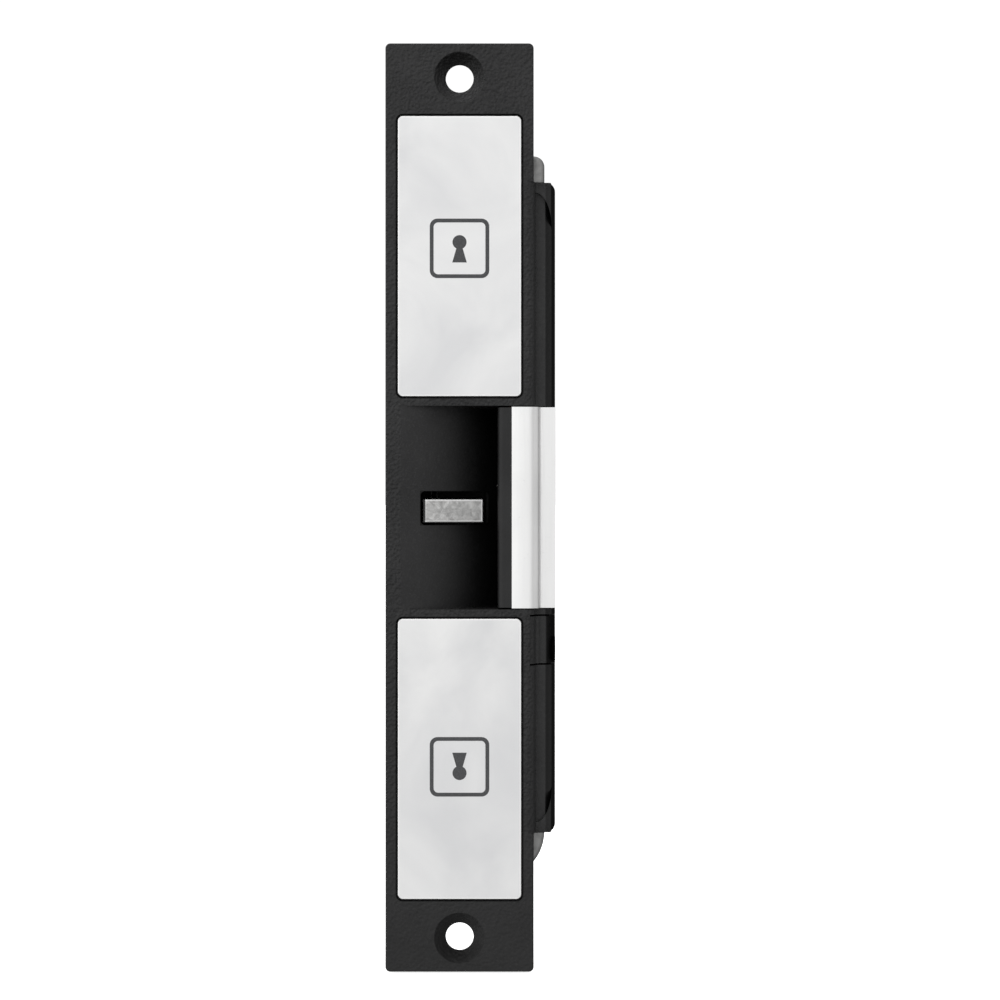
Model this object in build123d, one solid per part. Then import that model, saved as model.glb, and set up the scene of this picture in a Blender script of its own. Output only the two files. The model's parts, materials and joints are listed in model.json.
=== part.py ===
from build123d import *
import math
import os

# Electric door strike, millimetres.
# Origin: midway between the two fixing holes, on the faceplate's back (seating) plane.
# +X towards the side the keeper opens to, +Y into the door frame, +Z up.

# Faceplate
FACE_HALF_W = 16.45
FACE_HALF_H = 103.0
FACE_T = 3.5
FACE_CORNER_R = 1.1
FRONT_Y = -FACE_T
HOLE_Z = 95.5
HOLE_R = 3.1
SINK_R = 5.65
SEAT_FROM_Z = 83.0
BACK_RELIEF = 0.3

# Label plates and their recesses
LABEL_HALF_W = 13.72
LABEL_Z0 = 24.65
LABEL_Z1 = 86.9
LABEL_T = 1.1
LABEL_CORNER_R = 1.15
LABEL_GAP = 0.45
RECESS_DEPTH = 1.2

# Casting block behind the faceplate
BLOCK_X0 = -14.5
BLOCK_X1 = 21.35
BLOCK_Y1 = 8.0
BLOCK_HALF_H = 72.35
BLOCK_WALL = 2.0
CHEEK_Z0 = 22.6
CHEEK_Z1 = 28.6
CHEEK_Y1 = 23.5
CHEEK_X0 = -13.0
CHEEK_X1 = 17.4
ROOM_X1_FRONT = 15.4
ROOM_STEP_Y = 3.5
POST_R = 2.6
POST_ROOT = -0.2
ARM_NOTCH_XS = (-7.7, 4.0)
ARM_NOTCH_Y = 10.5
LEAD_NOTCH_XS = (-8.2, -4.2)
LEAD_NOTCH_Y = 19.0

# Lip to the right of the faceplate
LIP_X0 = 15.0
SHOULDER_R = 1.7
LIP_LAND_Y = -0.6
LIP_STRIP_Y = 0.4
LIP_STRIP_X0 = 16.9
LIP_STRIP_X1 = 19.05
LIP_LAND_X1 = 20.3
LIP_BEVEL_X = 20.5
LIP_BEVEL_Y = 1.9
LIP_EDGE_Y = 5.0
LIP_ARC_Z = 62.2
LIP_ARC_H = 7.9
LIP_ARC_W = LIP_BEVEL_X - LIP_STRIP_X0
LIP_CORNER_R = 1.45

# Latch pocket ramp: one arc, nearly level with the front at its left end
RAMP_X0 = -13.05
RAMP_X1 = 8.1
RAMP_ANGLE_0 = math.radians(8)
RAMP_ANGLE_1 = math.radians(60)
RAMP_WALL = 2.2
RAMP_R = (RAMP_X1 - RAMP_X0) / (math.sin(RAMP_ANGLE_1) - math.sin(RAMP_ANGLE_0))
RAMP_CX = RAMP_X0 - RAMP_R * math.sin(RAMP_ANGLE_0)
RAMP_CY = FRONT_Y + RAMP_R * math.cos(RAMP_ANGLE_0)
SLOT_X0 = -8.7
SLOT_X1 = 6.35
SLOT_Z0 = -3.9
SLOT_Z1 = 3.65
SLOT_CORNER_R = 1.0

# Keeper, which swings about a vertical pin
KEEPER_AXIS = (13.0, 18.0)
KEEPER_HALF_H = 22.2
KEEPER_INNER_X = 8.45
KEEPER_HUB_R = 4.8
KEEPER_NOSE_R = 1.3
PLATE_X0 = 11.6
PLATE_LAND_X1 = 15.3
PLATE_STEP_X = 18.1
PLATE_FLANGE_Y = 0.0
PLATE_X1 = 21.35
PLATE_SKIRT_Y1 = 8.0
PLATE_T = 1.5
PLATE_HALF_H = 22.35
PLATE_SCREW_Y = 4.2
PLATE_SCREW_Z = 13.0
PLATE_SCREW_LEN = 7.0
PIN_R = 2.5
PIN_Z0 = -33.0
PIN_Z1 = 28.0
BUSH_R = 3.4
BUSH_LEN = 8.0
SPRING_ROOM_HALF_H = 7.0
RUN_FIT = 0.05

# Small insert in the lip below the keeper, which keeps the pin in
INSERT_X0 = 15.6
INSERT_Z0 = -35.1
INSERT_Z1 = -23.8
INSERT_GAP = 0.4
INSERT_FIT = 0.05
INSERT_TONGUE_Y = 5.5
INSERT_STRIP_X0 = 17.6
INSERT_STRIP_X1 = 19.3
INSERT_BOSS_X0 = 9.8
INSERT_SCREW_Y = 4.3
INSERT_SCREW_Z = -31.6
INSERT_SCREW_LEN = 9.5
RETAINER_WEB_X0 = 16.0
PIN_SEAT_HALF_W = 3.2
PIN_SEAT_HALF_D = 3.5

# Locking train: plunger, see-saw lever and locking bolt share one plane
TRAIN_Y = 9.5
STROKE = 4.5
LEVER_ARM = 8.0
LEVER_X = 5.0
LEVER_Z = 34.0
LEVER_T = 2.5
LEVER_HALF_W = 2.2
LEVER_HUB_R = 3.2
LEVER_TILT = STROKE / 2 / LEVER_ARM
LEVER_PIN_R = 1.5
LEVER_PIN_Y0 = 1.5
LEVER_PIN_Y1 = 12.4
LINK_PIN_R = 1.0
LINK_SLACK = 0.15
FORK_SLOT = 2.9
BOLT_X = LEVER_X + LEVER_ARM
BOLT_R = 2.5
BOLT_TIP_Z = 23.0
BOLT_TOP_Z = 38.0
BOLT_HOLE_R = 2.9
BOLT_HOLE_Z0 = 16.5
PLUNGER_X = LEVER_X - LEVER_ARM
PLUNGER_R = 3.5
PLUNGER_Z0 = 30.0
PLUNGER_Z1 = 56.0
CLIP_Z = 36.0
CLIP_T = 0.8

# Solenoid
SOL_X0 = -12.5
SOL_X1 = 6.5
SOL_Z0 = 44.5
SOL_Z1 = 69.5
SOL_Y1 = 17.5
SOL_PLATE = 1.6
BOBBIN_BORE_R = 3.6
BOBBIN_TUBE_R = 4.4
BOBBIN_FLANGE_R = 7.75
BOBBIN_FLANGE_T = 1.2
COIL_R = 7.5
CORE_Z0 = 60.8

# Latch trigger, a lever on a level pin below the pocket
TRIG_X0 = -8.15
TRIG_X1 = 5.2
TRIG_Z0 = -3.3
TRIG_Z1 = 1.85
TRIG_ARM_X0 = -6.0
TRIG_ARM_X1 = 3.0
TRIG_ARM_Y0 = 12.0
TRIG_ARM_Y1 = 15.0
TRIG_AXIS = (13.5, -33.0)
TRIG_HUB_R = 3.5
TRIG_TAIL_Z = -44.0
TRIG_MID_X = (TRIG_ARM_X0 + TRIG_ARM_X1) / 2
TRIG_NOSE_Y = FRONT_Y + 0.4
TRIG_CHAMFER = 0.6
TRIG_CHAMFER_Y = -1.6
TRIG_END_Y = 0.1
TRIG_SPRING_Z = -9.0
LUG_T = 1.8
LUG_GAP = 0.4

# Latch switch and its bracket
SWITCH_X0 = -7.9
SWITCH_X1 = 4.9
SWITCH_Y0 = 4.2
SWITCH_Y1 = 10.7
SWITCH_Z0 = -44.9
SWITCH_Z1 = -39.1
BUTTON_W = 1.6
BUTTON_D = 3.0
BUTTON_WELL_Y = 7.6
BUTTON_ROOT_Y = 9.0
BUTTON_TIP_Y = 11.95
SWITCH_HOLE_XS = (-6.3, 3.3)
SWITCH_HOLE_Y = 6.4
SWITCH_PIN_XS = (-6.6, TRIG_MID_X, 3.6)
BRACKET_T = 1.0

# Circuit board and what is on it
BOARD_X0 = -7.7
BOARD_X1 = 9.0
BOARD_Z0 = -68.5
BOARD_Z1 = -51.3
BOARD_Y0 = 5.0
BOARD_T = 1.6
BOARD_FACE_Y = BOARD_Y0 + BOARD_T
BOARD_HOLES = ((-5.7, -65.9), (6.6, -53.9))
BOARD_POST_R = 2.2
BOARD_SCREW_LEN = 5.0
SMALL_SCREW_R = 1.25
TERMINAL_X0 = -3.2
TERMINAL_PITCH = 3.0
TERMINAL_COUNT = 4
TERMINAL_Z1 = -61.2
TERMINAL_H = 8.5
RECTIFIER_XS = (-2.6, 2.4)
RECTIFIER_ZS = (-59.6, -54.2)
RECTIFIER_H = 2.8
VARISTOR_R = 3.2
VARISTOR_XS = (-6.9, -4.6)
VARISTOR_Z = -57.2
CAPACITOR_R = 2.3
CAPACITOR_H = 7.5
CAPACITOR_AT = (5.9, -58.5)

# Coil leads
LEAD_R = 0.5
LEAD_XS = (-6.9, -5.5)
LEAD_RUN_Y = 21.0

# Rear case
CASE_X0 = -14.5
CASE_X1 = 18.9
CASE_Z0 = -82.8
CASE_Z1 = 78.4
CASE_Y1 = 27.5
CASE_WALL = 1.3
CASE_BACK = 2.0
CASE_INNER_Y = CASE_Y1 - CASE_BACK
CASE_EAR_T = 1.6
CASE_TOP_R = 2.4
CASE_FOOT_R = 10.5
CASE_POSTS = ((12.0, 62.0), (-10.2, 34.0), (9.5, -41.0), (13.0, -64.5), (-10.5, -66.0))
GROMMET_X = 2.0
GROMMET_Y = 13.5
GROMMET_BORE_R = 3.0

# M3 countersunk screws
M3_R = 1.5
M3_HEAD_R = 2.75
M3_HEAD_H = M3_HEAD_R - M3_R
CASE_SCREW_LEN = 9.5


def box(x0, x1, y0, y1, z0, z1):
    """Axis-aligned block between two corners."""
    centre = Pos((x0 + x1) / 2, (y0 + y1) / 2, (z0 + z1) / 2)
    return centre * Box(x1 - x0, y1 - y0, z1 - z0)


def rod_x(r, x0, x1, y, z):
    """Cylinder along X."""
    return Pos((x0 + x1) / 2, y, z) * Rot(0, 90, 0) * Cylinder(r, x1 - x0)


def rod_y(r, y0, y1, x, z):
    """Cylinder along Y."""
    return Pos(x, (y0 + y1) / 2, z) * Rot(90, 0, 0) * Cylinder(r, y1 - y0)


def rod_z(r, z0, z1, x, y):
    """Cylinder along Z."""
    return Pos(x, y, (z0 + z1) / 2) * Cylinder(r, z1 - z0)


def taper_y(r0, r1, y0, y1, x, z):
    """Cone frustum along Y, radius r0 at y0 and r1 at y1."""
    return Pos(x, (y0 + y1) / 2, z) * Rot(-90, 0, 0) * Cone(r0, r1, y1 - y0)


def prism_z(edges, z0, z1):
    """Closed outline in the XY plane, raised from z0 to z1."""
    return Pos(0, 0, z0) * extrude(make_face(edges), amount=z1 - z0, dir=(0, 0, 1))


def plate_xz(x0, x1, z0, z1, y0, y1, r):
    """Plate parallel to the XZ plane with rounded corners."""
    face = Rot(90, 0, 0) * RectangleRounded(x1 - x0, z1 - z0, r)
    return Pos((x0 + x1) / 2, y0, (z0 + z1) / 2) * extrude(face, amount=y1 - y0, dir=(0, 1, 0))


def flat_screw(at, head_dir, length, shank_r=M3_R, head_r=M3_HEAD_R):
    """Countersunk screw with a cross slot: its head face is at the point, its head faces head_dir."""
    head_h = head_r - shank_r
    shape = Pos(0, 0, -head_h / 2) * Cone(shank_r, head_r, head_h)
    shape += Pos(0, 0, -length / 2) * Cylinder(shank_r, length)
    slot_depth = 0.55 * head_h + 0.3
    for angle in (0, 90):
        shape -= Rot(0, 0, angle) * Box(head_r * 1.15, head_r * 0.24, slot_depth * 2)
    return Plane(origin=at, z_dir=head_dir) * shape


def pan_screw(at, head_dir, length, shank_r, head_r, head_h):
    """Pan head screw seated at the point, with its head on the head_dir side."""
    head = Pos(0, 0, head_h / 2) * Cylinder(head_r, head_h)
    head = fillet(head.edges().sort_by(Axis.Z)[-1], head_h * 0.45)
    shape = head + Pos(0, 0, -length / 2) * Cylinder(shank_r, length)
    shape -= Pos(0, 0, head_h) * Box(head_r * 1.3, head_r * 0.26, head_h)
    shape -= Pos(0, 0, head_h) * Box(head_r * 0.26, head_r * 1.3, head_h)
    return Plane(origin=at, z_dir=head_dir) * shape


def coil_spring(mean_r, wire_r, length, turns):
    """Helical wire of the given length along +Z, whose ends lie inside that length."""
    rise = length - 2 * wire_r
    path = Helix(pitch=rise / turns, height=rise, radius=mean_r)
    section = Plane(origin=path @ 0, z_dir=path % 0) * Circle(wire_r)
    return Pos(0, 0, wire_r) * sweep(section, path=path, is_frenet=True)


def ramp_point(angle, inset=0.0):
    """Point of the ramp arc, or of its inner face where inset is the wall."""
    r = RAMP_R - inset
    return (RAMP_CX + r * math.sin(angle), RAMP_CY - r * math.cos(angle))


def ramp_arc(angle_0, angle_1, inset=0.0):
    """Stretch of the ramp between two angles."""
    mid = (angle_0 + angle_1) / 2
    return ThreePointArc(ramp_point(angle_0, inset), ramp_point(mid, inset), ramp_point(angle_1, inset))


def pocket_void():
    """Everything in front of the ramp, and the room the keeper swings in."""
    start = ramp_point(RAMP_ANGLE_0)
    end = ramp_point(RAMP_ANGLE_1)
    outline = ramp_arc(RAMP_ANGLE_0, RAMP_ANGLE_1)
    far = 40.0
    outline += Polyline(end, (end[0], far), (far, far), (far, -far), (start[0], -far), start)
    return prism_z(outline, -CHEEK_Z0, CHEEK_Z0)


def ramp_wall():
    """Curved ramp of even wall, with the straight wall that runs back beside the keeper's hub."""
    inner_r = RAMP_R - RAMP_WALL
    back_angle = math.acos(RAMP_CY / inner_r)
    wall_x = RAMP_X1 - RAMP_WALL
    corner_angle = math.asin((wall_x - RAMP_CX) / inner_r)
    start = ramp_point(RAMP_ANGLE_0)
    end = ramp_point(RAMP_ANGLE_1)
    corner = ramp_point(corner_angle, RAMP_WALL)
    back = ramp_point(back_angle, RAMP_WALL)
    outline = ramp_arc(RAMP_ANGLE_0, RAMP_ANGLE_1)
    outline += Polyline(end, (end[0], CHEEK_Y1), (wall_x, CHEEK_Y1), corner)
    outline += ramp_arc(corner_angle, back_angle, RAMP_WALL)
    outline += Polyline(back, (start[0], 0), start)
    return prism_z(outline, -CHEEK_Z0, CHEEK_Z0)


def lip_solid(z0, z1):
    """Lip beside the faceplate: rounded shoulder, flat land, steep outer edge."""
    shoulder_x = LIP_X0 + SHOULDER_R
    centre_y = FRONT_Y + SHOULDER_R
    bend = SHOULDER_R * math.sin(math.pi / 4)
    outline = Polyline((LIP_X0, BLOCK_Y1), (LIP_X0, FRONT_Y))
    outline += ThreePointArc((LIP_X0, FRONT_Y), (LIP_X0 + bend, centre_y - bend), (shoulder_x, centre_y))
    outline += Polyline(
        (shoulder_x, centre_y),
        (LIP_STRIP_X0, LIP_LAND_Y),
        (LIP_LAND_X1, LIP_LAND_Y),
        (LIP_BEVEL_X, LIP_BEVEL_Y),
        (BLOCK_X1, LIP_EDGE_Y),
        (BLOCK_X1, BLOCK_Y1),
        (LIP_X0, BLOCK_Y1),
    )
    return prism_z(outline, z0, z1)


def strip_cut(x0, x1, foot, z0, z1):
    """What is cut off the lip's front: down to a strip from x0 to x1, then a bevel to its foot."""
    far = BLOCK_X1 + 1
    outline = Polyline(
        (x0, FRONT_Y),
        (x0, LIP_STRIP_Y),
        (x1, LIP_STRIP_Y),
        foot,
        (far, foot[1]),
        (far, FRONT_Y),
        (x0, FRONT_Y),
    )
    return prism_z(outline, z0, z1)


def lip_recess():
    """Shallow recess along the lip, whose ends run out in quarter ellipses."""
    foot = (LIP_BEVEL_X, LIP_BEVEL_Y)
    void = strip_cut(LIP_STRIP_X0, LIP_STRIP_X1, foot, -BLOCK_HALF_H, BLOCK_HALF_H)
    reach = box(LIP_STRIP_X0, BLOCK_X1 + 1, FRONT_Y, BLOCK_Y1, -LIP_ARC_Z, LIP_ARC_Z)
    oval = Rot(90, 0, 0) * Ellipse(LIP_ARC_W, LIP_ARC_H)
    for end_z in (-LIP_ARC_Z, LIP_ARC_Z):
        reach += Pos(LIP_STRIP_X0, FRONT_Y, end_z) * extrude(oval, amount=BLOCK_Y1 + FACE_T, dir=(0, 1, 0))
    return void & reach


def room_spans():
    """Heights of the room above the pocket and the room below it."""
    top = BLOCK_HALF_H - BLOCK_WALL
    return ((-top, -CHEEK_Z1), (CHEEK_Z1, top))


def faceplate():
    """Front plate, set back a little behind except at its two seats."""
    plate = plate_xz(-FACE_HALF_W, FACE_HALF_W, -FACE_HALF_H, FACE_HALF_H, FRONT_Y, 0, FACE_CORNER_R)
    plate = fillet(plate.faces().sort_by(Axis.Y)[0].edges(), 0.35)
    plate -= box(-FACE_HALF_W, FACE_HALF_W, -BACK_RELIEF, 0, -SEAT_FROM_Z, SEAT_FROM_Z)
    return plate - box(LIP_X0, FACE_HALF_W + 1, FRONT_Y - 1, 1, -BLOCK_HALF_H, BLOCK_HALF_H)


def casting_lip():
    """Recessed lip with rounded outer corners, hollowed behind."""
    lip = lip_solid(-BLOCK_HALF_H, BLOCK_HALF_H) - lip_recess()
    frame_x0 = LIP_X0 - 2 * LIP_CORNER_R
    lip &= plate_xz(frame_x0, BLOCK_X1, -BLOCK_HALF_H, BLOCK_HALF_H, FRONT_Y, BLOCK_Y1, LIP_CORNER_R)
    for z0, z1 in room_spans():
        lip -= box(LIP_X0 - 1, ROOM_X1_FRONT, 0, BLOCK_Y1 + 1, z0, z1)
        lip -= box(LIP_X0 - 1, CHEEK_X1, ROOM_STEP_Y, BLOCK_Y1 + 1, z0, z1)
    return lip


def front_casting():
    """Faceplate, block, cheeks, ramp, posts and lugs in one die casting."""
    body = faceplate() + box(BLOCK_X0, LIP_X0, -BACK_RELIEF, BLOCK_Y1, -BLOCK_HALF_H, BLOCK_HALF_H)
    for z0, z1 in room_spans():
        body -= box(BLOCK_X0 + BLOCK_WALL, ROOM_X1_FRONT, 0, BLOCK_Y1 + 1, z0, z1)
    body += casting_lip()
    for z0, z1 in ((-CHEEK_Z1, -CHEEK_Z0), (CHEEK_Z0, CHEEK_Z1)):
        body += box(CHEEK_X0, CHEEK_X1, 0, CHEEK_Y1, z0, z1)
    body -= pocket_void()
    body -= box(BLOCK_X0 + BLOCK_WALL, RAMP_X1 + 1, 0, CHEEK_Y1 + 1, -CHEEK_Z0, CHEEK_Z0)
    body += ramp_wall()
    body -= plate_xz(SLOT_X0, SLOT_X1, SLOT_Z0, SLOT_Z1, FRONT_Y - 1, TRIG_ARM_Y0, SLOT_CORNER_R)
    body += casting_bosses()
    return body - front_cuts() - inner_cuts()


def casting_bosses():
    """Posts, lugs and seats that stand on the casting's inner floor."""
    shape = rod_y(LEVER_HUB_R, POST_ROOT, TRAIN_Y - LEVER_T / 2 - 0.3, LEVER_X, LEVER_Z)
    for x, z in CASE_POSTS:
        shape += rod_y(POST_R, POST_ROOT, CASE_INNER_Y, x, z)
    for x, z in BOARD_HOLES:
        shape += rod_y(BOARD_POST_R, POST_ROOT, BOARD_Y0, x, z)
    y, z = TRIG_AXIS
    for x0 in (TRIG_ARM_X0 - LUG_GAP - LUG_T, TRIG_ARM_X1 + LUG_GAP):
        lug = box(x0, x0 + LUG_T, POST_ROOT, y, z - TRIG_HUB_R, z + TRIG_HUB_R)
        shape += lug + rod_x(TRIG_HUB_R, x0, x0 + LUG_T, y, z)
    return shape + box(INSERT_BOSS_X0, INSERT_X0, POST_ROOT, BLOCK_Y1, INSERT_Z0 - 0.6, -CHEEK_Z1)


def front_cuts():
    """Label recesses, fixing holes and the solenoid's screw holes, all open to the front."""
    floor_y = FRONT_Y + RECESS_DEPTH
    half = LABEL_HALF_W + LABEL_GAP
    corner_r = LABEL_CORNER_R + LABEL_GAP
    cut = None
    for side in (-1, 1):
        z0, z1 = sorted((side * (LABEL_Z0 - LABEL_GAP), side * (LABEL_Z1 + LABEL_GAP)))
        recess = plate_xz(-half, half, z0, z1, FRONT_Y - 1, floor_y, corner_r)
        cut = recess if cut is None else cut + recess
        sink = taper_y(SINK_R + 0.5, HOLE_R, FRONT_Y - 0.5, FRONT_Y + SINK_R - HOLE_R, 0, side * HOLE_Z)
        cut += rod_y(HOLE_R, FRONT_Y - 1, 1, 0, side * HOLE_Z) + sink
    for z in solenoid_screw_zs():
        cut += rod_y(M3_R, FRONT_Y, 1, PLUNGER_X, z)
        cut += taper_y(M3_HEAD_R, M3_R, floor_y, floor_y + M3_HEAD_H, PLUNGER_X, z)
    return cut


def inner_cuts():
    """Pin, bush and screw holes, the cheeks' notches and the insert's place."""
    cut = rod_z(PIN_R, -CHEEK_Z1 - 1, PIN_Z1, *KEEPER_AXIS)
    cut += rod_z(bush_seat_r(), CHEEK_Z0 - 1, CHEEK_Z1 + 1, BOLT_X, TRAIN_Y)
    cut += rod_y(LEVER_PIN_R, LEVER_PIN_Y0, TRAIN_Y, LEVER_X, LEVER_Z)
    for x, z in CASE_POSTS:
        cut += rod_y(M3_R, CASE_Y1 - CASE_SCREW_LEN - 0.5, CASE_Y1, x, z)
    for x, z in BOARD_HOLES:
        cut += rod_y(SMALL_SCREW_R, 0.5, BOARD_Y0 + 1, x, z)
    cut += rod_x(LEVER_PIN_R, TRIG_ARM_X0 - 4, TRIG_ARM_X1 + 4, *TRIG_AXIS)
    cut += box(*ARM_NOTCH_XS, ARM_NOTCH_Y, CHEEK_Y1 + 1, -CHEEK_Z1 - 1, -CHEEK_Z0 + 1)
    cut += box(*LEAD_NOTCH_XS, LEAD_NOTCH_Y, CHEEK_Y1 + 1, CHEEK_Z0 - 1, CHEEK_Z1 + 1)
    cut += box(INSERT_X0, BLOCK_X1 + 1, FRONT_Y - 1, BLOCK_Y1 + 1, INSERT_Z0, INSERT_Z1)
    cut += rod_x(M3_R, INSERT_BOSS_X0 + 1, INSERT_X0 + 1, INSERT_SCREW_Y, INSERT_SCREW_Z)
    return cut + rod_y(SMALL_SCREW_R, -1.8, 1, TRIG_MID_X, bracket_screw_z())


def bush_seat_r():
    """Radius of the guide bush's seat in the upper cheek."""
    return BOLT_R + 1.1


def solenoid_screw_zs():
    """Heights of the two screws under the upper label."""
    middle = (SOL_Z0 + SOL_Z1) / 2
    return (middle - 7, middle + 7)


def bracket_screw_z():
    """Height of the screw that holds the switch bracket."""
    return SWITCH_Z0 - BRACKET_T - 2.6


def label_plate(side):
    """Satin cover plate in a faceplate recess."""
    z0, z1 = sorted((side * LABEL_Z0, side * LABEL_Z1))
    floor_y = FRONT_Y + RECESS_DEPTH
    plate = plate_xz(-LABEL_HALF_W, LABEL_HALF_W, z0, z1, floor_y - LABEL_T, floor_y, LABEL_CORNER_R)
    return fillet(plate.faces().sort_by(Axis.Y)[0].edges(), 0.2)


def keeper_body():
    """Cast keeper: nose strip, arm and hub, cut away for the plate, bushes, bolt and spring."""
    hub_x, hub_y = KEEPER_AXIS
    nose_x = KEEPER_INNER_X + KEEPER_NOSE_R
    nose_y = FRONT_Y + KEEPER_NOSE_R
    bend = KEEPER_NOSE_R * math.sin(math.pi / 4)
    hub_right = hub_x + KEEPER_HUB_R
    outline = Polyline((KEEPER_INNER_X, hub_y), (KEEPER_INNER_X, nose_y))
    outline += ThreePointArc((KEEPER_INNER_X, nose_y), (nose_x - bend, nose_y - bend), (nose_x, FRONT_Y))
    outline += Polyline(
        (nose_x, FRONT_Y),
        (PLATE_X1 - 0.01, FRONT_Y),
        (PLATE_X1 - 0.01, PLATE_SKIRT_Y1 + 0.6),
        (hub_right, hub_y - 2.4),
        (hub_right, hub_y),
    )
    outline += ThreePointArc((hub_right, hub_y), (hub_x, hub_y + KEEPER_HUB_R), (KEEPER_INNER_X, hub_y))
    body = prism_z(outline, -KEEPER_HALF_H, KEEPER_HALF_H)
    body -= prism_z(plate_outline(seat=True), -KEEPER_HALF_H - 1, KEEPER_HALF_H + 1)
    body -= rod_z(BUSH_R, -KEEPER_HALF_H - 1, KEEPER_HALF_H + 1, hub_x, hub_y)
    body -= box(hub_x - 8, hub_x + 8, hub_y - 4.1, hub_y + 8, -SPRING_ROOM_HALF_H, SPRING_ROOM_HALF_H)
    body -= rod_z(BOLT_HOLE_R, BOLT_HOLE_Z0, KEEPER_HALF_H + 1, BOLT_X, TRAIN_Y)
    for z in (-PLATE_SCREW_Z, PLATE_SCREW_Z):
        body -= rod_x(M3_R, PLATE_X1 - 7.5, PLATE_X1, PLATE_SCREW_Y, z)
    return body


def plate_outline(seat=False):
    """Section of the formed face plate, or of its seat with everything in front of it."""
    r_out = PLATE_STEP_X - PLATE_LAND_X1
    r_in = r_out - PLATE_T
    centre = (PLATE_LAND_X1, FRONT_Y + r_out)
    half = math.sin(math.pi / 4)
    inner_x = PLATE_STEP_X - PLATE_T
    skirt_x = PLATE_X1 - PLATE_T
    inner = Polyline((PLATE_X0, FRONT_Y + PLATE_T), (PLATE_LAND_X1, FRONT_Y + PLATE_T))
    inner += ThreePointArc(
        (PLATE_LAND_X1, FRONT_Y + PLATE_T),
        (centre[0] + r_in * half, centre[1] - r_in * half),
        (inner_x, centre[1]),
    )
    inner += Polyline(
        (inner_x, centre[1]),
        (inner_x, PLATE_FLANGE_Y + PLATE_T),
        (skirt_x, PLATE_FLANGE_Y + PLATE_T),
        (skirt_x, PLATE_SKIRT_Y1),
        (PLATE_X1, PLATE_SKIRT_Y1),
    )
    if seat:
        far = FRONT_Y - 2
        inner += Polyline(
            (PLATE_X1, PLATE_SKIRT_Y1),
            (PLATE_X1, far),
            (PLATE_X0, far),
            (PLATE_X0, FRONT_Y + PLATE_T),
        )
        return inner
    inner += Polyline(
        (PLATE_X1, PLATE_SKIRT_Y1),
        (PLATE_X1, PLATE_FLANGE_Y),
        (PLATE_STEP_X, PLATE_FLANGE_Y),
        (PLATE_STEP_X, centre[1]),
    )
    inner += ThreePointArc(
        (PLATE_STEP_X, centre[1]),
        (centre[0] + r_out * half, centre[1] - r_out * half),
        (PLATE_LAND_X1, FRONT_Y),
    )
    inner += Polyline((PLATE_LAND_X1, FRONT_Y), (PLATE_X0, FRONT_Y), (PLATE_X0, FRONT_Y + PLATE_T))
    return inner


def keeper_face_plate():
    """Bright formed plate over the keeper's front and outer side."""
    plate = prism_z(plate_outline(), -PLATE_HALF_H, PLATE_HALF_H)
    for z in (-PLATE_SCREW_Z, PLATE_SCREW_Z):
        at = (PLATE_X1, PLATE_SCREW_Y, z)
        hole = rod_x(M3_R, PLATE_X1 - 3, PLATE_X1 + 1, PLATE_SCREW_Y, z)
        sink = Pos(*at) * Rot(0, 90, 0) * Pos(0, 0, -M3_HEAD_H / 2) * Cone(M3_R, M3_HEAD_R, M3_HEAD_H)
        plate -= hole + sink
    return plate


def keeper_plate_screws():
    """Two countersunk screws in the plate's outer side."""
    screws = []
    for z in (-PLATE_SCREW_Z, PLATE_SCREW_Z):
        screws.append(flat_screw((PLATE_X1, PLATE_SCREW_Y, z), (1, 0, 0), PLATE_SCREW_LEN))
    return Compound(screws)


def keeper_bushes():
    """Plain bushes pressed into both ends of the hub."""
    bushes = []
    for side in (-1, 1):
        z0, z1 = sorted((side * KEEPER_HALF_H, side * (KEEPER_HALF_H - BUSH_LEN)))
        bush = rod_z(BUSH_R, z0, z1, *KEEPER_AXIS) - rod_z(PIN_R + RUN_FIT, z0 - 1, z1 + 1, *KEEPER_AXIS)
        bushes.append(bush)
    return Compound(bushes)


def keeper_pivot_pin():
    """Pin that the keeper swings on, held in both cheeks."""
    pin = rod_z(PIN_R, PIN_Z0, PIN_Z1, *KEEPER_AXIS)
    return chamfer(pin.edges().filter_by(GeomType.CIRCLE), 0.4)


def keeper_return_spring():
    """Torsion spring round the pin, one leg on the ramp's back wall and one on the keeper."""
    wire_r = 0.4
    mean_r = 3.6
    half = 5.4
    hub_x, hub_y = KEEPER_AXIS
    coil = Pos(hub_x, hub_y, -half) * Rot(0, 0, -90) * coil_spring(mean_r, wire_r, 2 * half, 8.5)
    low = -half + wire_r
    high = half - wire_r
    leg_keeper = rod_x(wire_r, hub_x, hub_x + 4.3, hub_y - mean_r, low)
    leg_wall = rod_x(wire_r, RAMP_X1, hub_x, hub_y + mean_r, high)
    return coil + leg_keeper + leg_wall


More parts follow.
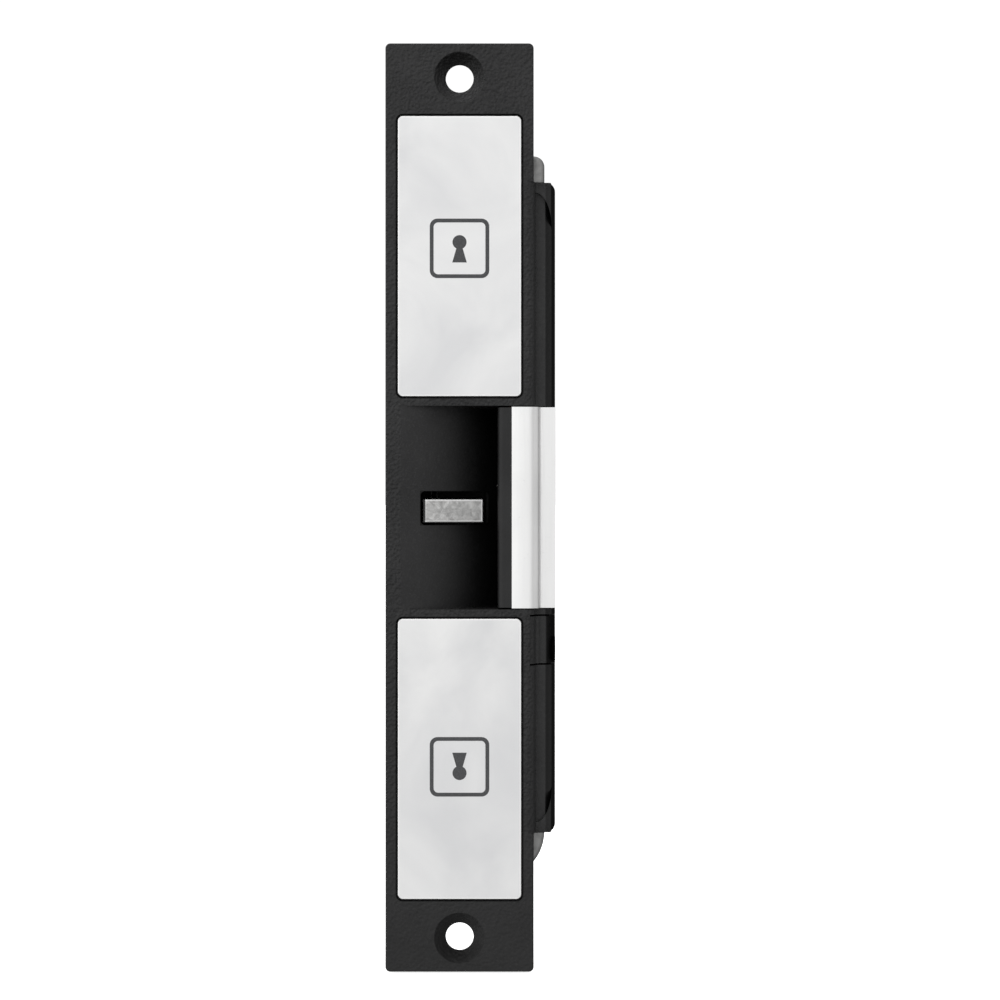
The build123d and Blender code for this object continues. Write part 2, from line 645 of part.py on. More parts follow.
def pivot_pin_retainer():
    """Insert with a strip of its own, a close-fitting tongue, and a foot that holds the pin's lower end."""
    z0 = INSERT_Z0 + INSERT_GAP
    z1 = INSERT_Z1 - INSERT_GAP
    foot = (BLOCK_X1, LIP_EDGE_Y)
    shape = lip_solid(z0, z1) - strip_cut(INSERT_STRIP_X0, INSERT_STRIP_X1, foot, z0, z1)
    x0 = INSERT_X0 + INSERT_FIT
    shape &= box(x0, BLOCK_X1 + 1, FRONT_Y - 1, BLOCK_Y1, z0, z1)
    tongue_z0 = INSERT_Z0 + INSERT_FIT
    shape += box(x0, BLOCK_X1, INSERT_TONGUE_Y, BLOCK_Y1, tongue_z0, INSERT_Z1 - INSERT_FIT)
    foot_z1 = -CHEEK_Z1 - 0.1
    foot_x1 = CHEEK_X1 - 0.1
    hub_x, hub_y = KEEPER_AXIS
    shape += box(RETAINER_WEB_X0, foot_x1, BLOCK_Y1 - 1, hub_y + PIN_SEAT_HALF_D, z0, foot_z1)
    seat_y0 = hub_y - PIN_SEAT_HALF_D
    shape += box(hub_x - PIN_SEAT_HALF_W, foot_x1, seat_y0, hub_y + PIN_SEAT_HALF_D, z0, foot_z1)
    shape -= rod_z(PIN_R, PIN_Z0, foot_z1 + 1, hub_x, hub_y)
    shape -= rod_x(M3_R, INSERT_X0 - 1, BLOCK_X1 + 1, INSERT_SCREW_Y, INSERT_SCREW_Z)
    sink = Plane(origin=(BLOCK_X1, INSERT_SCREW_Y, INSERT_SCREW_Z), z_dir=(1, 0, 0))
    return shape - sink * Pos(0, 0, -M3_HEAD_H / 2) * Cone(M3_R, M3_HEAD_R, M3_HEAD_H)


def retainer_screw():
    """Screw through the insert into the casting's boss."""
    return flat_screw((BLOCK_X1, INSERT_SCREW_Y, INSERT_SCREW_Z), (1, 0, 0), INSERT_SCREW_LEN)


def locking_bolt():
    """Round bolt with a forked tail for the lever."""
    bolt = rod_z(BOLT_R, BOLT_TIP_Z, BOLT_TOP_Z, BOLT_X, TRAIN_Y)
    bolt = chamfer(bolt.edges().filter_by(GeomType.CIRCLE).sort_by(Axis.Z)[0], 0.5)
    pin_z = LEVER_Z + STROKE / 2
    bolt -= box(BOLT_X - 4, BOLT_X + 4, TRAIN_Y - FORK_SLOT / 2, TRAIN_Y + FORK_SLOT / 2, pin_z - 3.6, 50)
    return bolt - rod_y(LINK_PIN_R, TRAIN_Y - 5, TRAIN_Y + 5, BOLT_X, pin_z)


def bolt_guide_bush():
    """Flanged bush that guides the bolt through the upper cheek."""
    bush = rod_z(bush_seat_r(), CHEEK_Z0 + 0.1, CHEEK_Z1, BOLT_X, TRAIN_Y)
    bush += rod_z(bush_seat_r() + 0.4, CHEEK_Z1, CHEEK_Z1 + 0.8, BOLT_X, TRAIN_Y)
    return bush - rod_z(BOLT_R + RUN_FIT, CHEEK_Z0 - 1, CHEEK_Z1 + 2, BOLT_X, TRAIN_Y)


def bolt_link_pin():
    """Cross pin in the bolt's fork."""
    return rod_y(LINK_PIN_R, TRAIN_Y - 2.2, TRAIN_Y + 2.2, BOLT_X, LEVER_Z + STROKE / 2)


def plunger_link_pin():
    """Cross pin in the plunger's fork."""
    return rod_y(LINK_PIN_R, TRAIN_Y - 3.2, TRAIN_Y + 3.2, PLUNGER_X, LEVER_Z - STROKE / 2)


def locking_lever():
    """See-saw lever, level at mid stroke, with a slot for a link pin at each end."""
    slot_r = LINK_PIN_R + LINK_SLACK
    slot_mid = LEVER_ARM + 0.15
    slot_len = 2 * slot_r + 0.8
    arm_len = 2 * (slot_mid + slot_len / 2 + 1.2)
    face = SlotOverall(arm_len, 2 * LEVER_HALF_W) + Circle(LEVER_HUB_R)
    face -= Circle(LEVER_PIN_R + RUN_FIT)
    for x in (-slot_mid, slot_mid):
        face -= Pos(x, 0) * SlotOverall(slot_len, 2 * slot_r)
    flat = extrude(face, amount=LEVER_T / 2, both=True)
    turned = Rot(90, 0, 0) * Rot(0, 0, math.degrees(LEVER_TILT)) * flat
    return Pos(LEVER_X, TRAIN_Y, LEVER_Z) * turned


def lever_pivot_pin():
    """Grooved pin that the lever turns on, pressed into its boss."""
    pin = rod_y(LEVER_PIN_R, LEVER_PIN_Y0, LEVER_PIN_Y1, LEVER_X, LEVER_Z)
    clip_y = TRAIN_Y + LEVER_T / 2 + 0.2
    groove = rod_y(3, clip_y, clip_y + CLIP_T, LEVER_X, LEVER_Z) - rod_y(1.15, 0, 20, LEVER_X, LEVER_Z)
    return pin - groove


def lever_retaining_clip():
    """Open clip in the pivot pin's groove."""
    clip_y = TRAIN_Y + LEVER_T / 2 + 0.2
    clip = rod_y(LEVER_HUB_R, clip_y, clip_y + CLIP_T, LEVER_X, LEVER_Z)
    clip -= rod_y(1.15, 0, 20, LEVER_X, LEVER_Z)
    return clip - box(LEVER_X - 0.9, LEVER_X + 0.9, 0, 20, LEVER_Z, LEVER_Z + 5)


def solenoid_plunger():
    """Moving core with a forked end, a clip groove and a chamfered top."""
    pin_z = LEVER_Z - STROKE / 2
    plunger = rod_z(PLUNGER_R, PLUNGER_Z0, PLUNGER_Z1, PLUNGER_X, TRAIN_Y)
    plunger = chamfer(plunger.edges().filter_by(GeomType.CIRCLE), 0.6)
    fork_y0 = TRAIN_Y - FORK_SLOT / 2
    plunger -= box(PLUNGER_X - 5, PLUNGER_X + 5, fork_y0, fork_y0 + FORK_SLOT, 0, pin_z + 3.6)
    groove = rod_z(5, CLIP_Z, CLIP_Z + CLIP_T, PLUNGER_X, TRAIN_Y)
    groove -= rod_z(PLUNGER_R - 0.5, 0, 90, PLUNGER_X, TRAIN_Y)
    return plunger - groove - rod_y(LINK_PIN_R, 0, 20, PLUNGER_X, pin_z)


def plunger_spring_clip():
    """Ring in the plunger's groove that the spring bears on."""
    ring = rod_z(4.9, CLIP_Z, CLIP_Z + CLIP_T, PLUNGER_X, TRAIN_Y)
    ring -= rod_z(PLUNGER_R - 0.5, 0, 90, PLUNGER_X, TRAIN_Y)
    return ring - box(PLUNGER_X - 6, PLUNGER_X, TRAIN_Y - 1.6, TRAIN_Y + 1.6, 0, 90)


def plunger_spring():
    """Spring that draws the plunger out when the coil is off."""
    low = CLIP_Z + CLIP_T
    return Pos(PLUNGER_X, TRAIN_Y, low) * coil_spring(4.25, 0.25, SOL_Z0 - low, 5)


def solenoid_frame():
    """Bent steel strap round the coil, open at the back."""
    frame = box(SOL_X0, SOL_X1, 0, SOL_PLATE, SOL_Z0, SOL_Z1)
    frame += box(SOL_X0, SOL_X1, 0, SOL_Y1, SOL_Z0, SOL_Z0 + SOL_PLATE)
    frame += box(SOL_X0, SOL_X1, 0, SOL_Y1, SOL_Z1 - SOL_PLATE, SOL_Z1)
    frame = fillet(frame.edges().filter_by(Axis.X).group_by(Axis.Y)[0], 0.8)
    frame -= rod_z(PLUNGER_R + 0.3, SOL_Z0 - 1, SOL_Z0 + 3, PLUNGER_X, TRAIN_Y)
    frame -= rod_z(PLUNGER_R - 0.7, SOL_Z1 - 3, SOL_Z1 + 1, PLUNGER_X, TRAIN_Y)
    for z in solenoid_screw_zs():
        frame -= rod_y(M3_R, -1, 3, PLUNGER_X, z)
    return frame


def solenoid_bobbin():
    """Nylon former: a tube with a flange at each end."""
    z0 = SOL_Z0 + SOL_PLATE
    z1 = SOL_Z1 - SOL_PLATE
    shape = rod_z(BOBBIN_TUBE_R, z0, z1, PLUNGER_X, TRAIN_Y)
    shape += rod_z(BOBBIN_FLANGE_R, z0, z0 + BOBBIN_FLANGE_T, PLUNGER_X, TRAIN_Y)
    shape += rod_z(BOBBIN_FLANGE_R, z1 - BOBBIN_FLANGE_T, z1, PLUNGER_X, TRAIN_Y)
    return shape - rod_z(BOBBIN_BORE_R, z0 - 1, z1 + 1, PLUNGER_X, TRAIN_Y)


def solenoid_coil():
    """Winding between the bobbin's flanges."""
    z0 = SOL_Z0 + SOL_PLATE + BOBBIN_FLANGE_T
    z1 = SOL_Z1 - SOL_PLATE - BOBBIN_FLANGE_T
    winding = rod_z(COIL_R, z0, z1, PLUNGER_X, TRAIN_Y)
    return winding - rod_z(BOBBIN_TUBE_R, z0 - 1, z1 + 1, PLUNGER_X, TRAIN_Y)


def solenoid_core():
    """Fixed core riveted in the frame's top, which stops the plunger."""
    core = rod_z(PLUNGER_R, CORE_Z0, SOL_Z1 - SOL_PLATE, PLUNGER_X, TRAIN_Y)
    return core + rod_z(PLUNGER_R - 0.7, SOL_Z1 - SOL_PLATE, SOL_Z1 + 0.3, PLUNGER_X, TRAIN_Y)


def solenoid_screws():
    """Two countersunk screws under the upper label."""
    y = FRONT_Y + RECESS_DEPTH
    screws = [flat_screw((PLUNGER_X, y, z), (0, -1, 0), SOL_PLATE - y) for z in solenoid_screw_zs()]
    return Compound(screws)


def latch_trigger():
    """Cast finger in the ramp's slot, on an arm with a hub and a tail."""
    finger = Polyline(
        (TRIG_X0, TRIG_ARM_Y1),
        (TRIG_X0, TRIG_CHAMFER_Y),
        (TRIG_X0 + TRIG_CHAMFER, TRIG_NOSE_Y),
        (TRIG_X1, TRIG_END_Y),
        (TRIG_X1, TRIG_ARM_Y1),
        (TRIG_X0, TRIG_ARM_Y1),
    )
    shape = prism_z(finger, TRIG_Z0, TRIG_Z1)
    front = shape.faces().filter_by(lambda f: f.normal_at().Y < -0.5).edges()
    shape = fillet(front, 0.3)
    y, z = TRIG_AXIS
    shape += box(TRIG_ARM_X0, TRIG_ARM_X1, TRIG_ARM_Y0, TRIG_ARM_Y1, z, TRIG_Z0 + 1)
    shape += rod_x(TRIG_HUB_R, TRIG_ARM_X0, TRIG_ARM_X1, y, z)
    shape += box(TRIG_ARM_X0 + 2, TRIG_ARM_X1 - 2, TRIG_ARM_Y0, TRIG_ARM_Y1 - 0.4, TRIG_TAIL_Z, z)
    return shape - rod_x(LEVER_PIN_R + RUN_FIT, TRIG_ARM_X0 - 1, TRIG_ARM_X1 + 1, y, z)


def trigger_pivot_pin():
    """Level pin through both lugs and the trigger's hub."""
    reach = LUG_GAP + LUG_T + 0.2
    return rod_x(LEVER_PIN_R, TRIG_ARM_X0 - reach, TRIG_ARM_X1 + reach, *TRIG_AXIS)


def trigger_spring():
    """Compression spring between the trigger's arm and the case."""
    spring = coil_spring(2.5, 0.35, CASE_INNER_Y - TRIG_ARM_Y1, 6)
    return Pos(TRIG_MID_X, TRIG_ARM_Y1, TRIG_SPRING_Z) * Rot(-90, 0, 0) * spring


def latch_switch_body():
    """Snap switch case with its button opening and two screw holes."""
    body = box(SWITCH_X0, SWITCH_X1, SWITCH_Y0, SWITCH_Y1, SWITCH_Z0, SWITCH_Z1)
    body = fillet(body.edges().filter_by(Axis.Z), 0.5)
    mid_z = (SWITCH_Z0 + SWITCH_Z1) / 2
    half_w = BUTTON_W / 2 + 0.15
    half_d = BUTTON_D / 2 + 0.15
    x0 = TRIG_MID_X - half_w
    body -= box(x0, x0 + 2 * half_w, BUTTON_WELL_Y, SWITCH_Y1 + 1, mid_z - half_d, mid_z + half_d)
    for x in SWITCH_HOLE_XS:
        body -= rod_z(1.0, SWITCH_Z0 - 1, SWITCH_Z1 + 1, x, SWITCH_HOLE_Y)
    return body


def latch_switch_button():
    """Button that the trigger's tail presses."""
    mid_z = (SWITCH_Z0 + SWITCH_Z1) / 2
    half_w = BUTTON_W / 2
    half_d = BUTTON_D / 2
    x0 = TRIG_MID_X - half_w
    button = box(x0, x0 + BUTTON_W, BUTTON_ROOT_Y, BUTTON_TIP_Y, mid_z - half_d, mid_z + half_d)
    return fillet(button.faces().sort_by(Axis.Y)[-1].edges().filter_by(Axis.Z), 0.6)


def latch_switch_terminals():
    """Three flat pins below the switch."""
    mid_z = (SWITCH_Z0 + SWITCH_Z1) / 2
    pins = []
    for x in SWITCH_PIN_XS:
        pins.append(box(x - 0.3, x + 0.3, 1.6, SWITCH_Y0, mid_z - 1.1, mid_z + 1.1))
    return Compound(pins)


def switch_bracket():
    """Bent bracket between the casting's floor and the switch."""
    z1 = SWITCH_Z0
    z0 = z1 - BRACKET_T
    foot = box(SWITCH_X0, SWITCH_X1, 0, BRACKET_T, z0 - 4.6, z1)
    wall = box(SWITCH_X0, SWITCH_X1, 0, SWITCH_Y1 - 0.4, z0, z1)
    bracket = foot + wall
    bracket = fillet(bracket.edges().filter_by(Axis.X).group_by(Axis.Y)[0].sort_by(Axis.Z)[-1], 0.6)
    for x in SWITCH_HOLE_XS:
        bracket -= rod_z(1.0, z0 - 1, z1 + 1, x, SWITCH_HOLE_Y)
    return bracket - rod_y(SMALL_SCREW_R, -1, BRACKET_T + 1, TRIG_MID_X, bracket_screw_z())


def switch_screws():
    """Two small screws through the switch into its bracket."""
    length = SWITCH_Z1 - SWITCH_Z0 + BRACKET_T + 0.6
    screws = []
    for x in SWITCH_HOLE_XS:
        screws.append(pan_screw((x, SWITCH_HOLE_Y, SWITCH_Z1), (0, 0, 1), length, 1.0, 1.5, 1.1))
    return Compound(screws)


def bracket_screw():
    """Screw that holds the bracket to the casting."""
    at = (TRIG_MID_X, BRACKET_T, bracket_screw_z())
    return pan_screw(at, (0, 1, 0), BRACKET_T + 1.6, SMALL_SCREW_R, 1.9, 1.4)


def circuit_board():
    """Glass-epoxy board on two standoffs."""
    board = plate_xz(BOARD_X0, BOARD_X1, BOARD_Z0, BOARD_Z1, BOARD_Y0, BOARD_FACE_Y, 0.8)
    for x, z in BOARD_HOLES:
        board -= rod_y(SMALL_SCREW_R, BOARD_Y0 - 1, BOARD_FACE_Y + 1, x, z)
    return board


def board_screws():
    """Two screws that hold the board."""
    screws = []
    for x, z in BOARD_HOLES:
        screws.append(pan_screw((x, BOARD_FACE_Y, z), (0, 1, 0), BOARD_SCREW_LEN, SMALL_SCREW_R, 2.1, 1.5))
    return Compound(screws)


def terminal_xs():
    """Centres of the four wire ways."""
    return [TERMINAL_X0 + TERMINAL_PITCH * (i + 0.5) for i in range(TERMINAL_COUNT)]


def terminal_block():
    """Screw terminal block, wires entering from below."""
    x1 = TERMINAL_X0 + TERMINAL_PITCH * TERMINAL_COUNT
    top_y = BOARD_FACE_Y + TERMINAL_H
    block = box(TERMINAL_X0, x1, BOARD_FACE_Y, top_y, BOARD_Z0, TERMINAL_Z1)
    block = chamfer(block.edges().filter_by(Axis.X).group_by(Axis.Y)[-1], 1.0)
    mid_z = (BOARD_Z0 + TERMINAL_Z1) / 2
    for x in terminal_xs():
        block -= rod_y(1.15, top_y - 3, top_y + 1, x, mid_z)
        block -= box(x - 1.0, x + 1.0, BOARD_FACE_Y + 1.4, BOARD_FACE_Y + 4.6, BOARD_Z0 - 1, mid_z + 1)
    return block


def terminal_screws():
    """Slotted clamp screws in the terminal block."""
    top_y = BOARD_FACE_Y + TERMINAL_H
    mid_z = (BOARD_Z0 + TERMINAL_Z1) / 2
    screws = []
    for x in terminal_xs():
        screw = rod_y(1.1, top_y - 3, top_y - 0.6, x, mid_z)
        screws.append(screw - box(x - 1.2, x + 1.2, top_y - 1.2, top_y, mid_z - 0.22, mid_z + 0.22))
    return Compound(screws)


def rectifier():
    """Moulded bridge rectifier on the board."""
    body = box(*RECTIFIER_XS, BOARD_FACE_Y, BOARD_FACE_Y + RECTIFIER_H, *RECTIFIER_ZS)
    return fillet(body.faces().sort_by(Axis.Y)[-1].edges(), 0.4)


def surge_suppressor():
    """Disc varistor standing on its edge."""
    disc = rod_x(VARISTOR_R, *VARISTOR_XS, BOARD_FACE_Y + VARISTOR_R + 0.4, VARISTOR_Z)
    return fillet(disc.edges().filter_by(GeomType.CIRCLE), 0.8)


def smoothing_capacitor():
    """Small can capacitor standing on the board."""
    can = rod_y(CAPACITOR_R, BOARD_FACE_Y, BOARD_FACE_Y + CAPACITOR_H, *CAPACITOR_AT)
    return fillet(can.edges().filter_by(GeomType.CIRCLE).sort_by(Axis.Y)[-1], 0.4)


def coil_leads():
    """Pair of insulated wires from the coil, behind the ramp, to the board."""
    leads = []
    for x in LEAD_XS:
        coil_y = TRAIN_Y + math.sqrt(COIL_R**2 - (x - PLUNGER_X) ** 2) + LEAD_R
        points = [
            (x, coil_y, 56),
            (x, LEAD_RUN_Y, 49),
            (x, LEAD_RUN_Y, -45),
            (x, 13, -52.2),
            (x, BOARD_FACE_Y, -52.2),
        ]
        path = FilletPolyline(*points, radius=[3.0, 3.0, 2.2])
        section = Plane(origin=path @ 0, z_dir=path % 0) * Circle(LEAD_R)
        leads.append(sweep(section, path=path))
    return Compound(leads)


def case_outline(inset):
    """Front outline of the case, or of its inside."""
    x0 = CASE_X0 + inset
    x1 = CASE_X1 - inset
    z0 = CASE_Z0 + inset
    z1 = CASE_Z1 - inset
    top_r = CASE_TOP_R - 0.8 * inset
    foot_r = CASE_FOOT_R - inset
    corners = [(x0, z0), (x1, z0), (x1, z1), (x0, z1)]
    line = FilletPolyline(*corners, radius=[foot_r, foot_r, top_r, top_r], close=True)
    return Rot(90, 0, 0) * make_face(line)


def rear_case():
    """Tray that closes the back, with a notch that the keeper opens through."""
    outer = extrude(case_outline(0), amount=CASE_Y1, dir=(0, 1, 0))
    outer = fillet(outer.faces().sort_by(Axis.Y)[0].edges(), 1.0)
    outer = fillet(outer.faces().sort_by(Axis.Y)[-1].edges(), 1.0)
    inner = extrude(case_outline(CASE_WALL), amount=CASE_INNER_Y - CASE_EAR_T, dir=(0, 1, 0))
    case = outer - Pos(0, CASE_EAR_T, 0) * inner
    clear = BLOCK_HALF_H + 0.15
    case -= box(CASE_X0 - 1, CASE_X1 + 3, -1, BLOCK_Y1, -clear, clear)
    case -= box(CASE_X1 - 4, CASE_X1 + 3, -1, CHEEK_Y1, -CHEEK_Z0 - 0.3, CHEEK_Z0 + 0.3)
    for x, z in CASE_POSTS:
        case -= rod_y(M3_R, 20, 30, x, z)
        case -= taper_y(M3_R, M3_HEAD_R, CASE_Y1 - M3_HEAD_H, CASE_Y1, x, z)
    return case - rod_z(GROMMET_BORE_R + 1.2, CASE_Z0 - 1, CASE_Z0 + 3, GROMMET_X, GROMMET_Y)


def rear_case_screws():
    """Countersunk screws through the case into the casting's posts."""
    return Compound([flat_screw((x, CASE_Y1, z), (0, 1, 0), CASE_SCREW_LEN) for x, z in CASE_POSTS])


def cable_grommet():
    """Rubber grommet in the case's lower end."""
    z_out = CASE_Z0 - 1.4
    z_in = CASE_Z0 + CASE_WALL + 1.4
    rim_r = GROMMET_BORE_R + 2.6
    outer = rod_z(rim_r, z_out, CASE_Z0, GROMMET_X, GROMMET_Y)
    outer = fillet(outer.edges().filter_by(GeomType.CIRCLE).sort_by(Axis.Z)[0], 0.9)
    inner = rod_z(rim_r, CASE_Z0 + CASE_WALL, z_in, GROMMET_X, GROMMET_Y)
    shape = outer + inner + rod_z(GROMMET_BORE_R + 1.2, CASE_Z0, CASE_Z0 + CASE_WALL, GROMMET_X, GROMMET_Y)
    return shape - rod_z(GROMMET_BORE_R, z_out - 1, z_in + 1, GROMMET_X, GROMMET_Y)


PARTS = {
    "front_casting": front_casting,
    "upper_label_plate": lambda: label_plate(1),
    "lower_label_plate": lambda: label_plate(-1),
    "keeper_body": keeper_body,
    "keeper_face_plate": keeper_face_plate,
    "keeper_plate_screws": keeper_plate_screws,
    "keeper_bushes": keeper_bushes,
    "keeper_pivot_pin": keeper_pivot_pin,
    "keeper_return_spring": keeper_return_spring,
    "pivot_pin_retainer": pivot_pin_retainer,
    "retainer_screw": retainer_screw,
    "locking_bolt": locking_bolt,
    "bolt_guide_bush": bolt_guide_bush,
    "bolt_link_pin": bolt_link_pin,
    "locking_lever": locking_lever,
    "lever_pivot_pin": lever_pivot_pin,
    "lever_retaining_clip": lever_retaining_clip,
    "solenoid_plunger": solenoid_plunger,
    "plunger_link_pin": plunger_link_pin,
    "plunger_spring_clip": plunger_spring_clip,
    "plunger_spring": plunger_spring,
    "solenoid_frame": solenoid_frame,
    "solenoid_bobbin": solenoid_bobbin,
    "solenoid_coil": solenoid_coil,
    "solenoid_core": solenoid_core,
    "solenoid_screws": solenoid_screws,
    "latch_trigger": latch_trigger,
    "trigger_pivot_pin": trigger_pivot_pin,
    "trigger_spring": trigger_spring,
    "latch_switch_body": latch_switch_body,
    "latch_switch_button": latch_switch_button,
    "latch_switch_terminals": latch_switch_terminals,
    "switch_bracket": switch_bracket,
    "switch_screws": switch_screws,
    "bracket_screw": bracket_screw,
    "circuit_board": circuit_board,
    "board_screws": board_screws,
    "terminal_block": terminal_block,
    "terminal_screws": terminal_screws,
    "rectifier": rectifier,
    "surge_suppressor": surge_suppressor,
    "smoothing_capacitor": smoothing_capacitor,
    "coil_leads": coil_leads,
    "rear_case": rear_case,
    "rear_case_screws": rear_case_screws,
    "cable_grommet": cable_grommet,
}


def main():
    """Write every sub-part to its own STEP file."""
    os.makedirs("parts", exist_ok=True)
    for node, make in PARTS.items():
        export_step(make(), f"parts/{node}.step")


main()
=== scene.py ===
import json
import math

import bmesh
import bpy
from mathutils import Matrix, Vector


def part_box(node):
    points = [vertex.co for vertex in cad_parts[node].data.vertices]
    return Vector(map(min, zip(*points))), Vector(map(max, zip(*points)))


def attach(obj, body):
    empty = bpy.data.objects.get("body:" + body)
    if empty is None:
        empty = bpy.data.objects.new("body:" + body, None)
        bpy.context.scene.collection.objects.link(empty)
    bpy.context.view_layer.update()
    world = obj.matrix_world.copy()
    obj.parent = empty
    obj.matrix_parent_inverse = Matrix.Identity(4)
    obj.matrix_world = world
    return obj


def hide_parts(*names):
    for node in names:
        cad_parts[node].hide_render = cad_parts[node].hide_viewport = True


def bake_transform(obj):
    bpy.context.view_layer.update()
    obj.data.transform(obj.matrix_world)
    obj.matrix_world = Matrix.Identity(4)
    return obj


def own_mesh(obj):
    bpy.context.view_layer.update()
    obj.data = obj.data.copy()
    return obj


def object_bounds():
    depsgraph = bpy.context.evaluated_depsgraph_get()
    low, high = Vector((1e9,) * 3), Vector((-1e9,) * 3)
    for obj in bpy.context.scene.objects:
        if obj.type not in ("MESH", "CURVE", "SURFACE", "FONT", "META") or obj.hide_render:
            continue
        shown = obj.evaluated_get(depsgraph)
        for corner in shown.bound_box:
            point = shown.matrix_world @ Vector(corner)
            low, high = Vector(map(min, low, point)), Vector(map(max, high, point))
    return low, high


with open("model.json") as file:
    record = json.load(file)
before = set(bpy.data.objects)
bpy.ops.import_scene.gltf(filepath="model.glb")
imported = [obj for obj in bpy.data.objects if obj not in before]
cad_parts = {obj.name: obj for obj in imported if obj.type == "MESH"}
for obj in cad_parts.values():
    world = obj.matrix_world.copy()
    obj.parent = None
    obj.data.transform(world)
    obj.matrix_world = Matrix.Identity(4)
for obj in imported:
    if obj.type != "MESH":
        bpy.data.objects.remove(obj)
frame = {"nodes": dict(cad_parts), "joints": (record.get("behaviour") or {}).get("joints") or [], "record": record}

MM = 0.001
CAD_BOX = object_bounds()
NODES = frame["nodes"]
SLOT_OF = {s["node"]: s["material_slot"] for s in frame["record"]["subparts"]}

# Photograph's framing: the camera looks along +Y, a little right of and above the faceplate's middle
VIEW_WIDTH = 221.78 * MM
CAMERA_X = 8.98 * MM
CAMERA_Z = 1.68 * MM
CAMERA_BACK = 650 * MM
SENSOR_MM = 36.0

# Studio: radiance of the surround by direction, of the white seen behind, and the floor's own glow
BACKDROP_GLOW = 1.05
FRONT_LIGHT = 1.06
LEFT_LIGHT = 1.3
RIGHT_LIGHT = 0.62
LOW_SHARE = 0.35
BACK_SHARE = 0.04
FLOOR_GLOW = 0.85
FLOOR_RADIUS = 60.0

# Front casting: sides and middles of the places where the coating changes, and of the painted shade in the slot,
# countersinks and label recesses
POCKET_HALF_H = 22.5 * MM
LIP_HALF_H = 71 * MM
SLOT_X = (-8.8 * MM, 6.45 * MM)
SLOT_Z = (-4.0 * MM, 3.75 * MM)
HOLE_Z = 95.5 * MM
LABEL_GAP = 0.55 * MM
FOOT_Z = -95 * MM

# Front casting: where a soft change starts and ends, across the part or out from a hole's middle
POCKET_LEFT = (-13.3 * MM, -12.6 * MM)
LIP_LEFT = (15.6 * MM, 16.9 * MM)
SINK_RIM = (5.4 * MM, 5.7 * MM)

# Front casting: where painted shade on the lip's edge starts and turns darker, and where the lip turns glossy,
# measured in from its outer edge
LIP_SHADE = (2.4 * MM, 2.0 * MM)
LIP_DARKER_SHADE = (1.1 * MM, 0.7 * MM)
LIP_GLOSSY = (2.3 * MM, 1.0 * MM)

# Other parts: sides of the keeper plate's bend, and height of the trigger's face
PLATE_BEND_X = (16.4 * MM, 18.1 * MM)
TRIGGER_FACE_H = 5.15 * MM

# Half width of a mask's crisp edge
CRISP = 0.05 * MM

# Springs, the coil and the printed marks. A ring outline is its half width and corner radius in mm.
STEPS_PER_TURN = 28
CLOSED_TURNS = 0.75
CLOSED_RISE = 0.06
COIL_BORE_R = 4.4 * MM
COIL_PITCH = 0.42 * MM
COIL_RIDGE = 0.16 * MM
MARK_Z = 57.5 * MM
MARK_PROUD = 0.03 * MM
MARK_SUNK = 0.02 * MM
KEYHOLE_SCALE = 0.92
RING_OUTER = (6.6, 1.7)
RING_INNER = (5.75, 1.0)


# ---------------------------------------------------------------- node helpers

class Nodes:
    """Short calls that add nodes to a tree and link them."""

    def __init__(self, tree, coordinates):
        self.tree = tree
        self.place = self.add("ShaderNodeTexCoord").outputs[coordinates]

    def add(self, kind, **settings):
        node = self.tree.nodes.new(kind)
        for key, value in settings.items():
            setattr(node, key, value)
        return node

    def link(self, out, socket):
        self.tree.links.new(out, socket)

    def feed(self, socket, value):
        """Link an output, or set a constant."""
        if isinstance(value, bpy.types.NodeSocket):
            self.link(value, socket)
        else:
            socket.default_value = value

    def math(self, operation, a, b=0.0):
        node = self.add("ShaderNodeMath", operation=operation)
        self.feed(node.inputs[0], a)
        self.feed(node.inputs[1], b)
        return node.outputs[0]

    def product(self, result, *factors):
        """Multiply values; for masks this keeps what lies in all of them."""
        for factor in factors:
            result = self.math("MULTIPLY", result, factor)
        return result

    def largest(self, result, *others):
        """Largest of some values; for masks this joins them."""
        for other in others:
            result = self.math("MAXIMUM", result, other)
        return result

    def span(self, value, low, high, out_low=0.0, out_high=1.0):
        """Remap a value from one range to another, clamped."""
        node = self.add("ShaderNodeMapRange")
        self.link(value, node.inputs["Value"])
        limits = {"From Min": low, "From Max": high, "To Min": out_low, "To Max": out_high}
        for socket, number in limits.items():
            node.inputs[socket].default_value = number
        return node.outputs["Result"]

    def axes(self):
        node = self.add("ShaderNodeSeparateXYZ")
        self.link(self.place, node.inputs[0])
        return node.outputs


